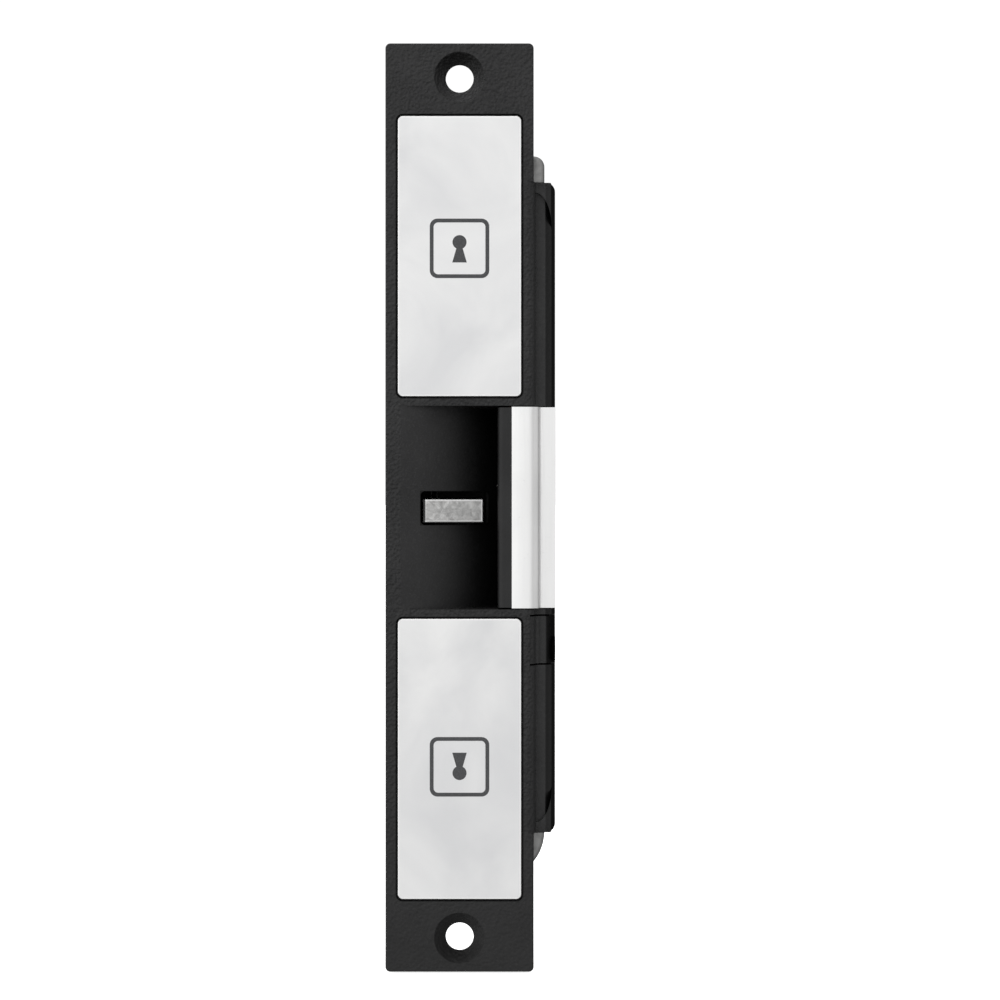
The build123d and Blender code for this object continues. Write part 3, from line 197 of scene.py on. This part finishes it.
class Shader(Nodes):
    """One procedural material: its Principled shader and the textures that feed it."""

    def __init__(self, name, metallic=0.0, **sockets):
        self.material = bpy.data.materials.new(name)
        self.material.use_nodes = True
        super().__init__(self.material.node_tree, "Object")
        self.bsdf = self.tree.nodes["Principled BSDF"]
        self.bsdf.inputs["Metallic"].default_value = metallic
        for socket, value in sockets.items():
            self.bsdf.inputs[socket.replace("_", " ")].default_value = value

    def stretched(self, scale):
        """Object coordinates times a scale for each axis."""
        node = self.add("ShaderNodeVectorMath", operation="MULTIPLY")
        self.link(self.place, node.inputs[0])
        node.inputs[1].default_value = scale
        return node.outputs[0]

    def noise(self, scale, detail=4.0, roughness=0.55, distortion=0.0, at=None):
        node = self.add("ShaderNodeTexNoise")
        self.link(at or self.place, node.inputs["Vector"])
        node.inputs["Scale"].default_value = scale
        node.inputs["Detail"].default_value = detail
        node.inputs["Roughness"].default_value = roughness
        node.inputs["Distortion"].default_value = distortion
        return node.outputs["Fac"]

    def cells(self, scale, smooth):
        node = self.add("ShaderNodeTexVoronoi", feature="SMOOTH_F1")
        self.link(self.place, node.inputs["Vector"])
        node.inputs["Scale"].default_value = scale
        node.inputs["Smoothness"].default_value = smooth
        return node.outputs["Distance"]

    def mix(self, fac, a, b):
        """Blend two colours; sockets 6 and 7 are the node's colour inputs and 2 its colour output."""
        node = self.add("ShaderNodeMix", data_type="RGBA")
        self.feed(node.inputs["Factor"], fac)
        self.feed(node.inputs[6], (*a, 1) if isinstance(a, tuple) else a)
        self.feed(node.inputs[7], (*b, 1) if isinstance(b, tuple) else b)
        return node.outputs[2]

    def colour(self, value):
        self.feed(self.bsdf.inputs["Base Color"], value)

    def roughness(self, value):
        self.feed(self.bsdf.inputs["Roughness"], value)

    def bump(self, *layers):
        """Stack bumps of (height, distance in mm, strength)."""
        normal = None
        for height, distance, strength in layers:
            node = self.add("ShaderNodeBump")
            self.link(height, node.inputs["Height"])
            node.inputs["Distance"].default_value = distance * MM
            self.feed(node.inputs["Strength"], strength)
            if normal is not None:
                self.link(normal, node.inputs["Normal"])
            normal = node.outputs["Normal"]
        self.link(normal, self.bsdf.inputs["Normal"])

    def inside(self, value, low, high, soft):
        """1 where a value lies between low and high, with soft edges."""
        rise = self.span(value, low - soft, low + soft)
        fall = self.span(value, high - soft, high + soft, 1.0, 0.0)
        return self.product(rise, fall)


# ------------------------------------------------------------------- materials

def casting_shadows(s, pocket):
    """Mask of the front casting's painted shade: in its recesses, countersinks, slot and latch pocket, and along
    the lip's outer edge.
    """
    low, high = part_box("front_casting")
    label_low, label_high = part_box("upper_label_plate")
    x, y, z = s.axes()
    height = s.math("ABSOLUTE", z)
    # Painted shade across the latch pocket, darker towards the keeper
    pocket_shade = s.product(pocket, s.span(x, -9 * MM, 5 * MM, 0.0, 0.85))
    # Painted shade in the trigger's slot
    slot = s.product(s.inside(x, *SLOT_X, CRISP), s.inside(z, *SLOT_Z, CRISP))
    hole_z = s.math("SUBTRACT", height, HOLE_Z)
    radius = s.math("SQRT", s.math("ADD", s.product(x, x), s.product(hole_z, hole_z)))
    # Painted shade: a countersink is darkest on the side of the faceplate's nearer end
    sink = s.product(s.span(radius, *SINK_RIM, 1.0, 0.0), s.span(hole_z, -2 * MM, 4 * MM, 0.05, 0.9))
    # Painted shade along the lip's outer edge, fading out further back
    edge = s.math(
        "ADD",
        s.span(x, high.x - LIP_SHADE[0], high.x - LIP_SHADE[1], 0.0, 0.9),
        s.span(x, high.x - LIP_DARKER_SHADE[0], high.x - LIP_DARKER_SHADE[1], 0.0, 0.1),
    )
    edge = s.product(edge, s.span(y, 5.0 * MM, 6.5 * MM, 1.0, 0.0))
    # Painted shade in the label recesses round the plates
    recess = s.product(
        s.inside(x, label_low.x - LABEL_GAP, label_high.x + LABEL_GAP, CRISP),
        s.inside(height, label_low.z - LABEL_GAP, label_high.z + LABEL_GAP, CRISP),
        s.span(y, low.y + 0.1 * MM, low.y + 0.3 * MM),
    )
    return s.largest(pocket_shade, slot, sink, edge, recess)


def black_casting():
    """Black powder coat: a fine wrinkle, smooth in the latch pocket and on the lip, with painted shade in its
    recesses.
    """
    s = Shader("black_casting", Specular_IOR_Level=0.30)
    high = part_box("front_casting")[1]
    x, _, z = s.axes()
    pocket = s.product(s.inside(z, -POCKET_HALF_H, POCKET_HALF_H, 0.3 * MM), s.span(x, *POCKET_LEFT))
    lip = s.product(s.inside(z, -LIP_HALF_H, LIP_HALF_H, 1.5 * MM), s.span(x, *LIP_LEFT))
    smooth = s.largest(pocket, s.product(lip, 0.85))
    wrinkled = s.math("SUBTRACT", 1.0, s.product(smooth, 0.92))
    wrinkled = s.product(wrinkled, s.span(z, FOOT_Z, -50 * MM, 0.4, 1.0))
    warp = s.noise(520, 3, 0.6, 1.6)
    lumps = s.cells(1400, 0.6)
    fine = s.noise(2600, 4, 0.6, 0.4)
    relief = s.math("ADD", s.product(lumps, 0.8), s.product(warp, 0.9))
    s.bump((relief, 0.45, s.product(wrinkled, 0.8)), (fine, 0.07, 0.4))
    cloud = s.noise(60, 3)
    tone = s.mix(s.span(cloud, 0.35, 0.7), (0.015, 0.015, 0.0155), (0.025, 0.025, 0.0255))
    tone = s.mix(s.product(s.span(fine, 0.5, 0.75), 0.5), tone, (0.050, 0.050, 0.051))
    tone = s.mix(s.span(z, FOOT_Z, 20 * MM, 0.5, 0.0), tone, (0.010, 0.010, 0.010))
    tone = s.mix(s.product(lip, 0.55), tone, (0.036, 0.036, 0.0365))
    # Painted shade: the masked places are darkened nearly to black
    s.colour(s.mix(casting_shadows(s, pocket), tone, (0.001, 0.001, 0.001)))
    rough = s.span(warp, 0.3, 0.7, 0.46, 0.62)
    gloss = s.span(x, high.x - LIP_GLOSSY[0], high.x - LIP_GLOSSY[1], 1.0, 0.45)
    s.roughness(s.product(rough, gloss))
    return s.material


def keeper_black():
    """Smoother black coat of the keeper's cast body."""
    s = Shader("keeper_black", Specular_IOR_Level=0.3)
    grain = s.noise(1800, 4, 0.6)
    cloud = s.noise(120, 3)
    s.colour(s.mix(s.span(cloud, 0.35, 0.7), (0.012, 0.012, 0.0125), (0.018, 0.018, 0.0185)))
    s.roughness(s.span(grain, 0.3, 0.7, 0.36, 0.50))
    s.bump((grain, 0.04, 0.5))
    return s.material


def zinc_steel():
    """Zinc-plated sheet steel: streaks along X, over slow cloudy variation."""
    s = Shader("zinc_steel", metallic=1.0)
    dark = (0.58, 0.57, 0.52)
    streaks = s.noise(1.0, 3, 0.6, 0.0, s.stretched((60.0, 2600.0, 2600.0)))
    cloud = s.noise(90, 3, 0.5, 0.4)
    tone = s.mix(s.span(cloud, 0.35, 0.68), dark, (0.72, 0.71, 0.66))
    streaked = s.product(s.span(streaks, 0.45, 0.8), 0.25)
    s.colour(s.mix(streaked, tone, tuple(0.9 * c for c in dark)))
    s.roughness(s.span(streaks, 0.3, 0.7, 0.28, 0.42))
    s.bump((streaks, 0.012, 0.25))
    return s.material


def label_satin():
    """Bead-blasted satin silver with faint cloudy mottling and a painted highlight round its edges."""
    s = Shader("label_satin", metallic=0.85)
    low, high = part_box("upper_label_plate")
    x, _, z = s.axes()
    height = s.math("ABSOLUTE", z)
    rim = 0.30 * MM
    soft = 0.12 * MM
    field = s.product(
        s.inside(x, low.x + rim, high.x - rim, soft),
        s.inside(height, low.z + rim, high.z - rim, soft),
    )
    cloud = s.noise(38, 4, 0.5, 0.7)
    blast = s.noise(4200, 2, 0.5)
    tone = s.mix(s.span(cloud, 0.32, 0.68), (0.735, 0.738, 0.745), (0.870, 0.870, 0.866))
    # Painted highlight: the rim round the plate is near white
    s.colour(s.mix(field, (1.0, 1.0, 0.995), tone))
    s.roughness(s.span(blast, 0.3, 0.7, 0.34, 0.46))
    s.bump((blast, 0.01, 0.25))
    return s.material


def stainless():
    """Brushed stainless of the keeper's face plate, with painted light at its left edge and across its bend."""
    s = Shader("stainless", metallic=1.0)
    low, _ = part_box("keeper_face_plate")
    x, _, _ = s.axes()
    streaks = s.noise(1.0, 3, 0.6, 0.0, s.stretched((2600.0, 2600.0, 60.0)))
    cloud = s.noise(90, 3, 0.5, 0.4)
    scuff = s.noise(700, 4, 0.6, 1.5)
    # Painted light: lighter at the plate's left edge and across its bend
    along = s.span(x, low.x, low.x + 4.0 * MM)
    tone = s.mix(along, (0.97, 0.97, 0.965), (0.83, 0.83, 0.827))
    tone = s.mix(s.inside(x, *PLATE_BEND_X, 0.3 * MM), tone, (1.0, 1.0, 0.995))
    tone = s.mix(s.product(s.span(cloud, 0.4, 0.7), 0.35), tone, (0.80, 0.80, 0.797))
    s.colour(s.mix(s.product(s.span(scuff, 0.62, 0.75), 0.3), tone, (0.62, 0.62, 0.615)))
    s.roughness(s.span(streaks, 0.3, 0.7, 0.28, 0.42))
    s.bump((streaks, 0.012, 0.25))
    return s.material


def cast_grey():
    """Tumbled grey casting of the latch trigger: the rim of its face bright with wear and a painted highlight,
    with painted shade towards the right and further in.
    """
    s = Shader("cast_grey", metallic=0.9)
    low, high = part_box("latch_trigger")
    x, y, z = s.axes()
    rim = 0.36 * MM
    soft = 0.18 * MM
    face_low = high.z - TRIGGER_FACE_H
    face = s.product(
        s.inside(x, low.x + rim, high.x - rim, soft),
        s.inside(z, face_low + rim, high.z - rim, soft),
    )
    pits = s.cells(1300, 0.6)
    mottle = s.noise(620, 5, 0.7, 1.2)
    blotch = s.noise(230, 3, 0.6, 0.6)
    tone = s.mix(s.span(mottle, 0.34, 0.66), (0.34, 0.338, 0.333), (0.66, 0.658, 0.650))
    tone = s.mix(s.product(s.span(blotch, 0.45, 0.62), 0.4), tone, (0.30, 0.299, 0.295))
    # Painted shade, darker towards the keeper's side
    tone = s.mix(s.span(x, low.x + 5.0 * MM, high.x, 0.0, 0.3), tone, (0.26, 0.259, 0.255))
    # Rim round the face bright with wear and a painted highlight
    tone = s.mix(face, (0.84, 0.84, 0.835), tone)
    # Painted shade on the parts further back in the slot
    s.colour(s.mix(s.span(y, 0.5 * MM, 3.0 * MM), tone, (0.02, 0.02, 0.02)))
    s.roughness(s.span(mottle, 0.3, 0.7, 0.48, 0.34))
    s.bump((pits, 0.06, 0.45), (mottle, 0.06, 0.5))
    return s.material


def zinc_case():
    """Bare zinc of the rear case, with painted shade on its inside."""
    s = Shader("zinc_case", metallic=0.9)
    low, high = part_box("rear_case")
    x, y, z = s.axes()
    soft = 0.1 * MM
    skin = 0.6 * MM
    inner_shade = s.product(
        s.inside(x, low.x + skin, high.x - skin, soft),
        s.inside(y, low.y + skin, high.y - skin, soft),
        s.inside(z, low.z + skin, high.z - skin, soft),
    )
    pits = s.cells(900, 0.6)
    mottle = s.noise(320, 5, 0.65, 0.8)
    cloud = s.noise(70, 3)
    tone = s.mix(s.span(mottle, 0.3, 0.72), (0.25, 0.25, 0.247), (0.37, 0.37, 0.365))
    tone = s.mix(s.product(s.span(cloud, 0.4, 0.7), 0.35), tone, (0.21, 0.21, 0.207))
    # Painted shade: the inside of the case is near black
    s.colour(s.mix(inner_shade, tone, (0.02, 0.02, 0.02)))
    s.roughness(s.span(mottle, 0.3, 0.7, 0.6, 0.44))
    s.bump((pits, 0.05, 0.45), (mottle, 0.05, 0.4))
    return s.material


def turned_metal(name, light, dark, roughness):
    """Machined or plated steel with fine irregular tarnish."""
    s = Shader(name, metallic=1.0)
    fine = s.noise(3000, 4, 0.6)
    cloud = s.noise(260, 4, 0.6, 0.6)
    s.colour(s.mix(s.span(cloud, 0.35, 0.7), dark, light))
    s.roughness(s.span(fine, 0.3, 0.7, roughness - 0.06, roughness + 0.1))
    s.bump((fine, 0.012, 0.35))
    return s.material


def moulded(name, light, dark, roughness, coat=0.0, grain=2200, depth=0.02):
    """Moulded plastic, rubber or lacquer with a fine surface grain."""
    s = Shader(name, Coat_Weight=coat, Coat_Roughness=0.2)
    fine = s.noise(grain, 3, 0.55)
    cloud = s.noise(160, 3)
    s.colour(s.mix(s.span(cloud, 0.35, 0.7), dark, light))
    s.roughness(s.span(fine, 0.3, 0.7, roughness - 0.05, roughness + 0.08))
    s.bump((fine, depth, 0.4))
    return s.material


def copper_coil():
    """Lacquered copper with thin, uneven darker rings along the winding."""
    s = Shader("copper_coil", metallic=0.9, Coat_Weight=0.6, Coat_Roughness=0.15)
    cloud = s.noise(500, 4, 0.6)
    turns = s.noise(1.0, 2, 0.5, 0.0, s.stretched((120, 120, 5200)))
    tone = s.mix(s.span(cloud, 0.35, 0.7), (0.42, 0.13, 0.045), (0.62, 0.24, 0.09))
    s.colour(s.mix(s.product(s.span(turns, 0.5, 0.8), 0.4), tone, (0.25, 0.07, 0.03)))
    s.roughness(s.span(cloud, 0.3, 0.7, 0.28, 0.4))
    s.bump((turns, 0.02, 0.4))
    return s.material


def board_green():
    """Solder mask with fainter copper areas beneath it."""
    s = Shader("board_green", Coat_Weight=0.5, Coat_Roughness=0.2)
    weave = s.noise(2400, 2)
    copper = s.cells(260, 0.0)
    s.colour(s.mix(s.span(copper, 0.30, 0.36), (0.020, 0.150, 0.060), (0.010, 0.085, 0.035)))
    s.roughness(s.span(weave, 0.3, 0.7, 0.3, 0.42))
    s.bump((copper, 0.03, 0.4), (weave, 0.01, 0.3))
    return s.material


def print_ink():
    """Dark grey screen print."""
    s = Shader("print_ink", Specular_IOR_Level=0.35)
    speck = s.noise(3600, 3)
    s.colour(s.mix(s.span(speck, 0.4, 0.7), (0.060, 0.061, 0.064), (0.085, 0.086, 0.090)))
    s.roughness(s.span(speck, 0.3, 0.7, 0.42, 0.55))
    s.bump((speck, 0.01, 0.3))
    return s.material


def slot_materials():
    """One material for every slot of the record."""
    turned = {
        "screw_steel": ((0.72, 0.72, 0.70), (0.52, 0.52, 0.50), 0.28),
        "bronze": ((0.62, 0.42, 0.20), (0.45, 0.28, 0.12), 0.38),
        "pin_steel": ((0.80, 0.80, 0.795), (0.70, 0.70, 0.69), 0.22),
        "hard_steel": ((0.42, 0.41, 0.40), (0.28, 0.27, 0.26), 0.32),
        "spring_steel": ((0.60, 0.59, 0.57), (0.42, 0.41, 0.39), 0.3),
        "black_screw": ((0.05, 0.05, 0.05), (0.025, 0.025, 0.025), 0.4),
        "soft_iron": ((0.62, 0.61, 0.58), (0.48, 0.47, 0.45), 0.34),
        "contact_metal": ((0.78, 0.70, 0.48), (0.60, 0.52, 0.34), 0.26),
    }
    soft_black = ((0.022, 0.022, 0.022), (0.014, 0.014, 0.014))
    plastic = {
        "nylon_black": ((0.040, 0.040, 0.040), (0.025, 0.025, 0.025), 0.45),
        "switch_black": ((0.032, 0.032, 0.034), (0.020, 0.020, 0.022), 0.4),
        "switch_red": ((0.58, 0.05, 0.035), (0.46, 0.03, 0.02), 0.3),
        "terminal_green": ((0.045, 0.34, 0.13), (0.030, 0.25, 0.09), 0.4),
        "varistor_blue": ((0.04, 0.15, 0.48), (0.025, 0.10, 0.36), 0.25, 0.5),
        "capacitor_sleeve": ((0.03, 0.03, 0.09), (0.015, 0.015, 0.05), 0.25, 0.4),
        "lead_insulation": (*soft_black, 0.35),
        "rubber_black": (*soft_black, 0.62, 0.0, 1500, 0.04),
    }
    materials = {
        "black_casting": black_casting(),
        "keeper_black": keeper_black(),
        "label_satin": label_satin(),
        "stainless": stainless(),
        "zinc_steel": zinc_steel(),
        "copper_coil": copper_coil(),
        "cast_grey": cast_grey(),
        "board_green": board_green(),
        "zinc_case": zinc_case(),
    }
    materials.update({name: turned_metal(name, *look) for name, look in turned.items()})
    materials.update({name: moulded(name, *look) for name, look in plastic.items()})
    return materials


# --------------------------------------------------------------------- meshes

def new_piece(name, bm, material, body):
    """Finish a bmesh as a piece that rides on a body, or on none."""
    bmesh.ops.recalc_face_normals(bm, faces=bm.faces)
    mesh = bpy.data.meshes.new(name)
    bm.to_mesh(mesh)
    bm.free()
    piece = bpy.data.objects.new(name, mesh)
    bpy.context.scene.collection.objects.link(piece)
    mesh.materials.append(material)
    if body:
        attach(piece, body)
    return piece


def shade_by_angle(piece, degrees):
    """Smooth shading with sharp edges kept above an angle."""
    mesh = piece.data
    mesh.shade_smooth()
    mesh.set_sharp_from_angle(angle=math.radians(degrees))


def tube_along(bm, points, radius):
    """Closed round wire through a list of points."""
    sides = 12
    rings = []
    count = len(points)
    normal = None
    for i, point in enumerate(points):
        ahead = points[min(i + 1, count - 1)] - points[max(i - 1, 0)]
        ahead.normalize()
        if normal is None:
            normal = ahead.orthogonal().normalized()
        normal = (normal - ahead * normal.dot(ahead)).normalized()
        side = ahead.cross(normal)
        ring = []
        for k in range(sides):
            a = 2 * math.pi * k / sides
            ring.append(bm.verts.new(point + radius * (math.cos(a) * normal + math.sin(a) * side)))
        rings.append(ring)
    for a, b in zip(rings, rings[1:]):
        for k in range(sides):
            bm.faces.new((a[k], a[(k + 1) % sides], b[(k + 1) % sides], b[k]))
    bm.faces.new(rings[0])
    bm.faces.new(rings[-1])


def helix_points(centre, radius, start, length, turns, axis):
    """Points of a spring's wire along Z or Y: closed end turns and open turns between them."""
    along = Vector((0, 0, 1)) if axis == "Z" else Vector((0, 1, 0))
    u = Vector((1, 0, 0))
    v = along.cross(u)
    open_turns = turns - 2 * CLOSED_TURNS
    points = []
    for i in range(turns * STEPS_PER_TURN + 1):
        turn = i / STEPS_PER_TURN
        closed = min(turn, CLOSED_TURNS) + max(turn - (turns - CLOSED_TURNS), 0.0)
        share = min(max((turn - CLOSED_TURNS) / open_turns, 0.0), 1.0)
        rise = CLOSED_RISE * closed / CLOSED_TURNS + (1 - 2 * CLOSED_RISE) * share
        angle = 2 * math.pi * turn
        ring = radius * (math.cos(angle) * u + math.sin(angle) * v)
        points.append(centre + along * (start + rise * length) + ring)
    return points


def plunger_spring(materials):
    """Compression spring of the plunger, wound along Z."""
    low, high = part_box("plunger_spring")
    wire = 0.25 * MM
    centre = Vector(((low.x + high.x) / 2, (low.y + high.y) / 2, 0))
    radius = (high.x - low.x) / 2 - wire
    bm = bmesh.new()
    length = high.z - low.z - 2 * wire
    tube_along(bm, helix_points(centre, radius, low.z + wire, length, 6, "Z"), wire)
    piece = new_piece("plunger_spring_wire", bm, materials["spring_steel"], "housing")
    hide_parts("plunger_spring")
    shade_by_angle(piece, 60)
    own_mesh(piece)


def trigger_spring(materials):
    """Compression spring behind the trigger's arm, wound along Y."""
    low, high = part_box("trigger_spring")
    wire = 0.35 * MM
    centre = Vector(((low.x + high.x) / 2, 0, (low.z + high.z) / 2))
    radius = (high.x - low.x) / 2 - wire
    bm = bmesh.new()
    length = high.y - low.y - 2 * wire
    tube_along(bm, helix_points(centre, radius, low.y + wire, length, 7, "Y"), wire)
    piece = new_piece("trigger_spring_wire", bm, materials["spring_steel"], "housing")
    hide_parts("trigger_spring")
    shade_by_angle(piece, 60)
    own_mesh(piece)


def keeper_return_spring(materials):
    """Torsion spring wound round the keeper's pivot, with a straight leg at its top and at its foot."""
    low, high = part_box("keeper_return_spring")
    wire = 0.4 * MM
    hub_x, hub_y, _ = joint("keeper_swing")["pos_m"]
    radius = (high.y - low.y) / 2 - wire
    foot, top = low.z + wire, high.z - wire
    bm = bmesh.new()
    turns = 8.5
    steps = int(turns * STEPS_PER_TURN)
    wound = []
    for i in range(steps + 1):
        angle = 2 * math.pi * turns * i / steps - math.pi / 2
        rise = foot + (top - foot) * i / steps
        x = hub_x + radius * math.cos(angle)
        y = hub_y + radius * math.sin(angle)
        wound.append(Vector((x, y, rise)))
    lower_y, upper_y = hub_y - radius, hub_y + radius
    tube_along(bm, wound, wire)
    tube_along(bm, [Vector((high.x, lower_y, foot)), Vector((hub_x, lower_y, foot))], wire)
    tube_along(bm, [Vector((hub_x, upper_y, top)), Vector((low.x, upper_y, top))], wire)
    piece = new_piece("keeper_return_spring_wire", bm, materials["spring_steel"], None)
    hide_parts("keeper_return_spring")
    shade_by_angle(piece, 60)
    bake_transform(piece)


def wound_coil(materials):
    """Copper winding: a turned surface with one rounded ridge for each turn."""
    low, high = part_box("solenoid_coil")
    cx, cy = (low.x + high.x) / 2, (low.y + high.y) / 2
    outer = (high.x - low.x) / 2
    length = high.z - low.z
    steps = 4
    count = int(length / COIL_PITCH) * steps
    profile = [(COIL_BORE_R, low.z)]
    for i in range(count + 1):
        bulge = abs(math.sin(math.pi * i / steps))
        profile.append((outer - COIL_RIDGE * (1 - bulge), low.z + length * i / count))
    profile.append((COIL_BORE_R, high.z))
    bm = bmesh.new()
    sides = 72
    rings = []
    for r, z in profile:
        ring = []
        for k in range(sides):
            a = 2 * math.pi * k / sides
            ring.append(bm.verts.new((cx + r * math.cos(a), cy + r * math.sin(a), z)))
        rings.append(ring)
    for a, b in zip(rings, rings[1:] + rings[:1]):
        for k in range(sides):
            bm.faces.new((a[k], a[(k + 1) % sides], b[(k + 1) % sides], b[k]))
    piece = new_piece("coil_winding", bm, materials["copper_coil"], "housing")
    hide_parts("solenoid_coil")
    shade_by_angle(piece, 50)


def joint(name):
    """A joint of the record by name."""
    return next(j for j in frame["joints"] if j["name"] == name)


def keyhole_outline(scale):
    """Round head and flared foot of a keyhole, as points in mm about its middle."""
    steps = 28
    head_r = 1.7 * scale
    head_z = 1.5 * scale
    open_angle = math.radians(27)
    points = []
    for i in range(steps + 1):
        a = -math.pi / 2 + open_angle + (2 * math.pi - 2 * open_angle) * i / steps
        points.append((head_r * math.cos(a), head_z + head_r * math.sin(a)))
    foot_half = 1.75 * scale
    foot_z = -3.4 * scale
    points.append((-foot_half, foot_z))
    points.append((foot_half, foot_z))
    return points


def rounded_square(half, radius):
    """Outline in mm of a square with rounded corners, about its middle."""
    steps = 8
    inset = half - radius
    points = []
    for sx, sz, start in ((1, 1, 0), (-1, 1, 90), (-1, -1, 180), (1, -1, 270)):
        for i in range(steps + 1):
            a = math.radians(start + 90 * i / steps)
            points.append((sx * inset + radius * math.cos(a), sz * inset + radius * math.sin(a)))
    return points


def label_mark(name, side, plate, ink):
    """Printed pictogram on a label plate: a keyhole in a plain square ring, upside down when side is -1."""
    front_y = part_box(plate)[0].y - MARK_PROUD
    centre_z = side * MARK_Z
    bm = bmesh.new()

    def lay(outline):
        return [bm.verts.new((x * MM, front_y, centre_z + side * z * MM)) for x, z in outline]

    bm.faces.new(lay(keyhole_outline(KEYHOLE_SCALE)))
    outer = lay(rounded_square(*RING_OUTER))
    inner = lay(rounded_square(*RING_INNER))
    count = len(outer)
    for i in range(count):
        j = (i + 1) % count
        bm.faces.new((outer[i], outer[j], inner[j], inner[i]))
    made = bmesh.ops.extrude_face_region(bm, geom=bm.faces[:])
    moved = [g for g in made["geom"] if isinstance(g, bmesh.types.BMVert)]
    bmesh.ops.translate(bm, verts=moved, vec=(0, MARK_PROUD + MARK_SUNK, 0))
    new_piece(name, bm, ink, "housing")


# ---------------------------------------------------------------------- stage

def make_stage():
    """Plain pale light-table floor, wide enough that its edge is never seen."""
    bm = bmesh.new()
    bmesh.ops.create_circle(bm, cap_ends=True, segments=128, radius=FLOOR_RADIUS)
    mesh = bpy.data.meshes.new("floor")
    bm.to_mesh(mesh)
    bm.free()
    floor = bpy.data.objects.new("floor", mesh)
    bpy.context.scene.collection.objects.link(floor)
    floor.location = (0, 0, CAD_BOX[0].z - 0.5 * MM)
    floor.visible_diffuse = False
    floor.visible_glossy = False
    s = Shader("floor_paint", Specular_IOR_Level=0.0, Emission_Color=(1.0, 1.0, 1.0, 1.0))
    s.bsdf.inputs["Emission Strength"].default_value = FLOOR_GLOW
    s.colour(s.mix(s.span(s.noise(3, 2), 0.3, 0.7), (0.93, 0.93, 0.93), (0.95, 0.95, 0.95)))
    s.roughness(0.9)
    floor.data.materials.append(s.material)


def light_world():
    """White surround to look at. Its light is bright in front and at the upper left, weaker on the right
    and below, and dark in a patch behind on the right."""
    world = bpy.data.worlds.new("studio")
    bpy.context.scene.world = world
    world.use_nodes = True
    nodes = Nodes(world.node_tree, "Generated")
    x, y, z = nodes.axes()
    toward_right = nodes.math("SUBTRACT", nodes.product(x, 0.9), nodes.product(z, 0.45))
    side = nodes.span(toward_right, -0.55, 0.55, LEFT_LIGHT, RIGHT_LIGHT)
    side = nodes.product(side, nodes.span(z, -0.85, 0.0, LOW_SHARE, 1.0))
    front = nodes.product(
        nodes.span(y, -0.95, -0.45, 1.0, 0.0),
        nodes.span(z, -0.2, 0.2, 0.84, 1.10),
    )
    level = nodes.largest(side, nodes.product(front, FRONT_LIGHT))
    toward_dark = nodes.math("ADD", nodes.product(x, 0.47), nodes.product(y, 0.88))
    level = nodes.product(level, nodes.span(toward_dark, 0.52, 0.84, 1.0, BACK_SHARE))
    surround = world.node_tree.nodes["Background"]
    nodes.link(level, surround.inputs["Strength"])
    surround.inputs["Color"].default_value = (1.0, 1.0, 1.0, 1.0)
    white = nodes.add("ShaderNodeBackground")
    white.inputs["Color"].default_value = (1.0, 1.0, 1.0, 1.0)
    white.inputs["Strength"].default_value = BACKDROP_GLOW
    chooser = nodes.add("ShaderNodeMixShader")
    nodes.link(nodes.add("ShaderNodeLightPath").outputs["Is Camera Ray"], chooser.inputs[0])
    nodes.link(surround.outputs[0], chooser.inputs[1])
    nodes.link(white.outputs[0], chooser.inputs[2])
    nodes.link(chooser.outputs[0], world.node_tree.nodes["World Output"].inputs["Surface"])


def add_camera():
    """Camera at the photograph's angle and framing."""
    data = bpy.data.cameras.new("camera")
    data.sensor_width = SENSOR_MM
    data.lens = SENSOR_MM * CAMERA_BACK / VIEW_WIDTH
    data.clip_start, data.clip_end = 0.01, 200
    camera = bpy.data.objects.new("camera", data)
    bpy.context.scene.collection.objects.link(camera)
    front_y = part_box("front_casting")[0].y
    camera.location = (CAMERA_X, front_y - CAMERA_BACK, CAMERA_Z)
    camera.rotation_euler = (math.radians(90), 0, 0)
    bpy.context.scene.camera = camera


def paint_nodes(materials):
    """Give every CAD node its slot's material."""
    for name, node in NODES.items():
        node.data.materials.clear()
        node.data.materials.append(materials[SLOT_OF[name]])


def main():
    add_camera()
    bpy.context.scene.view_settings.view_transform = "Standard"
    materials = slot_materials()
    paint_nodes(materials)
    ink = print_ink()
    label_mark("upper_label_mark", 1, "upper_label_plate", ink)
    label_mark("lower_label_mark", -1, "lower_label_plate", ink)
    plunger_spring(materials)
    trigger_spring(materials)
    keeper_return_spring(materials)
    wound_coil(materials)
    make_stage()
    light_world()


main()
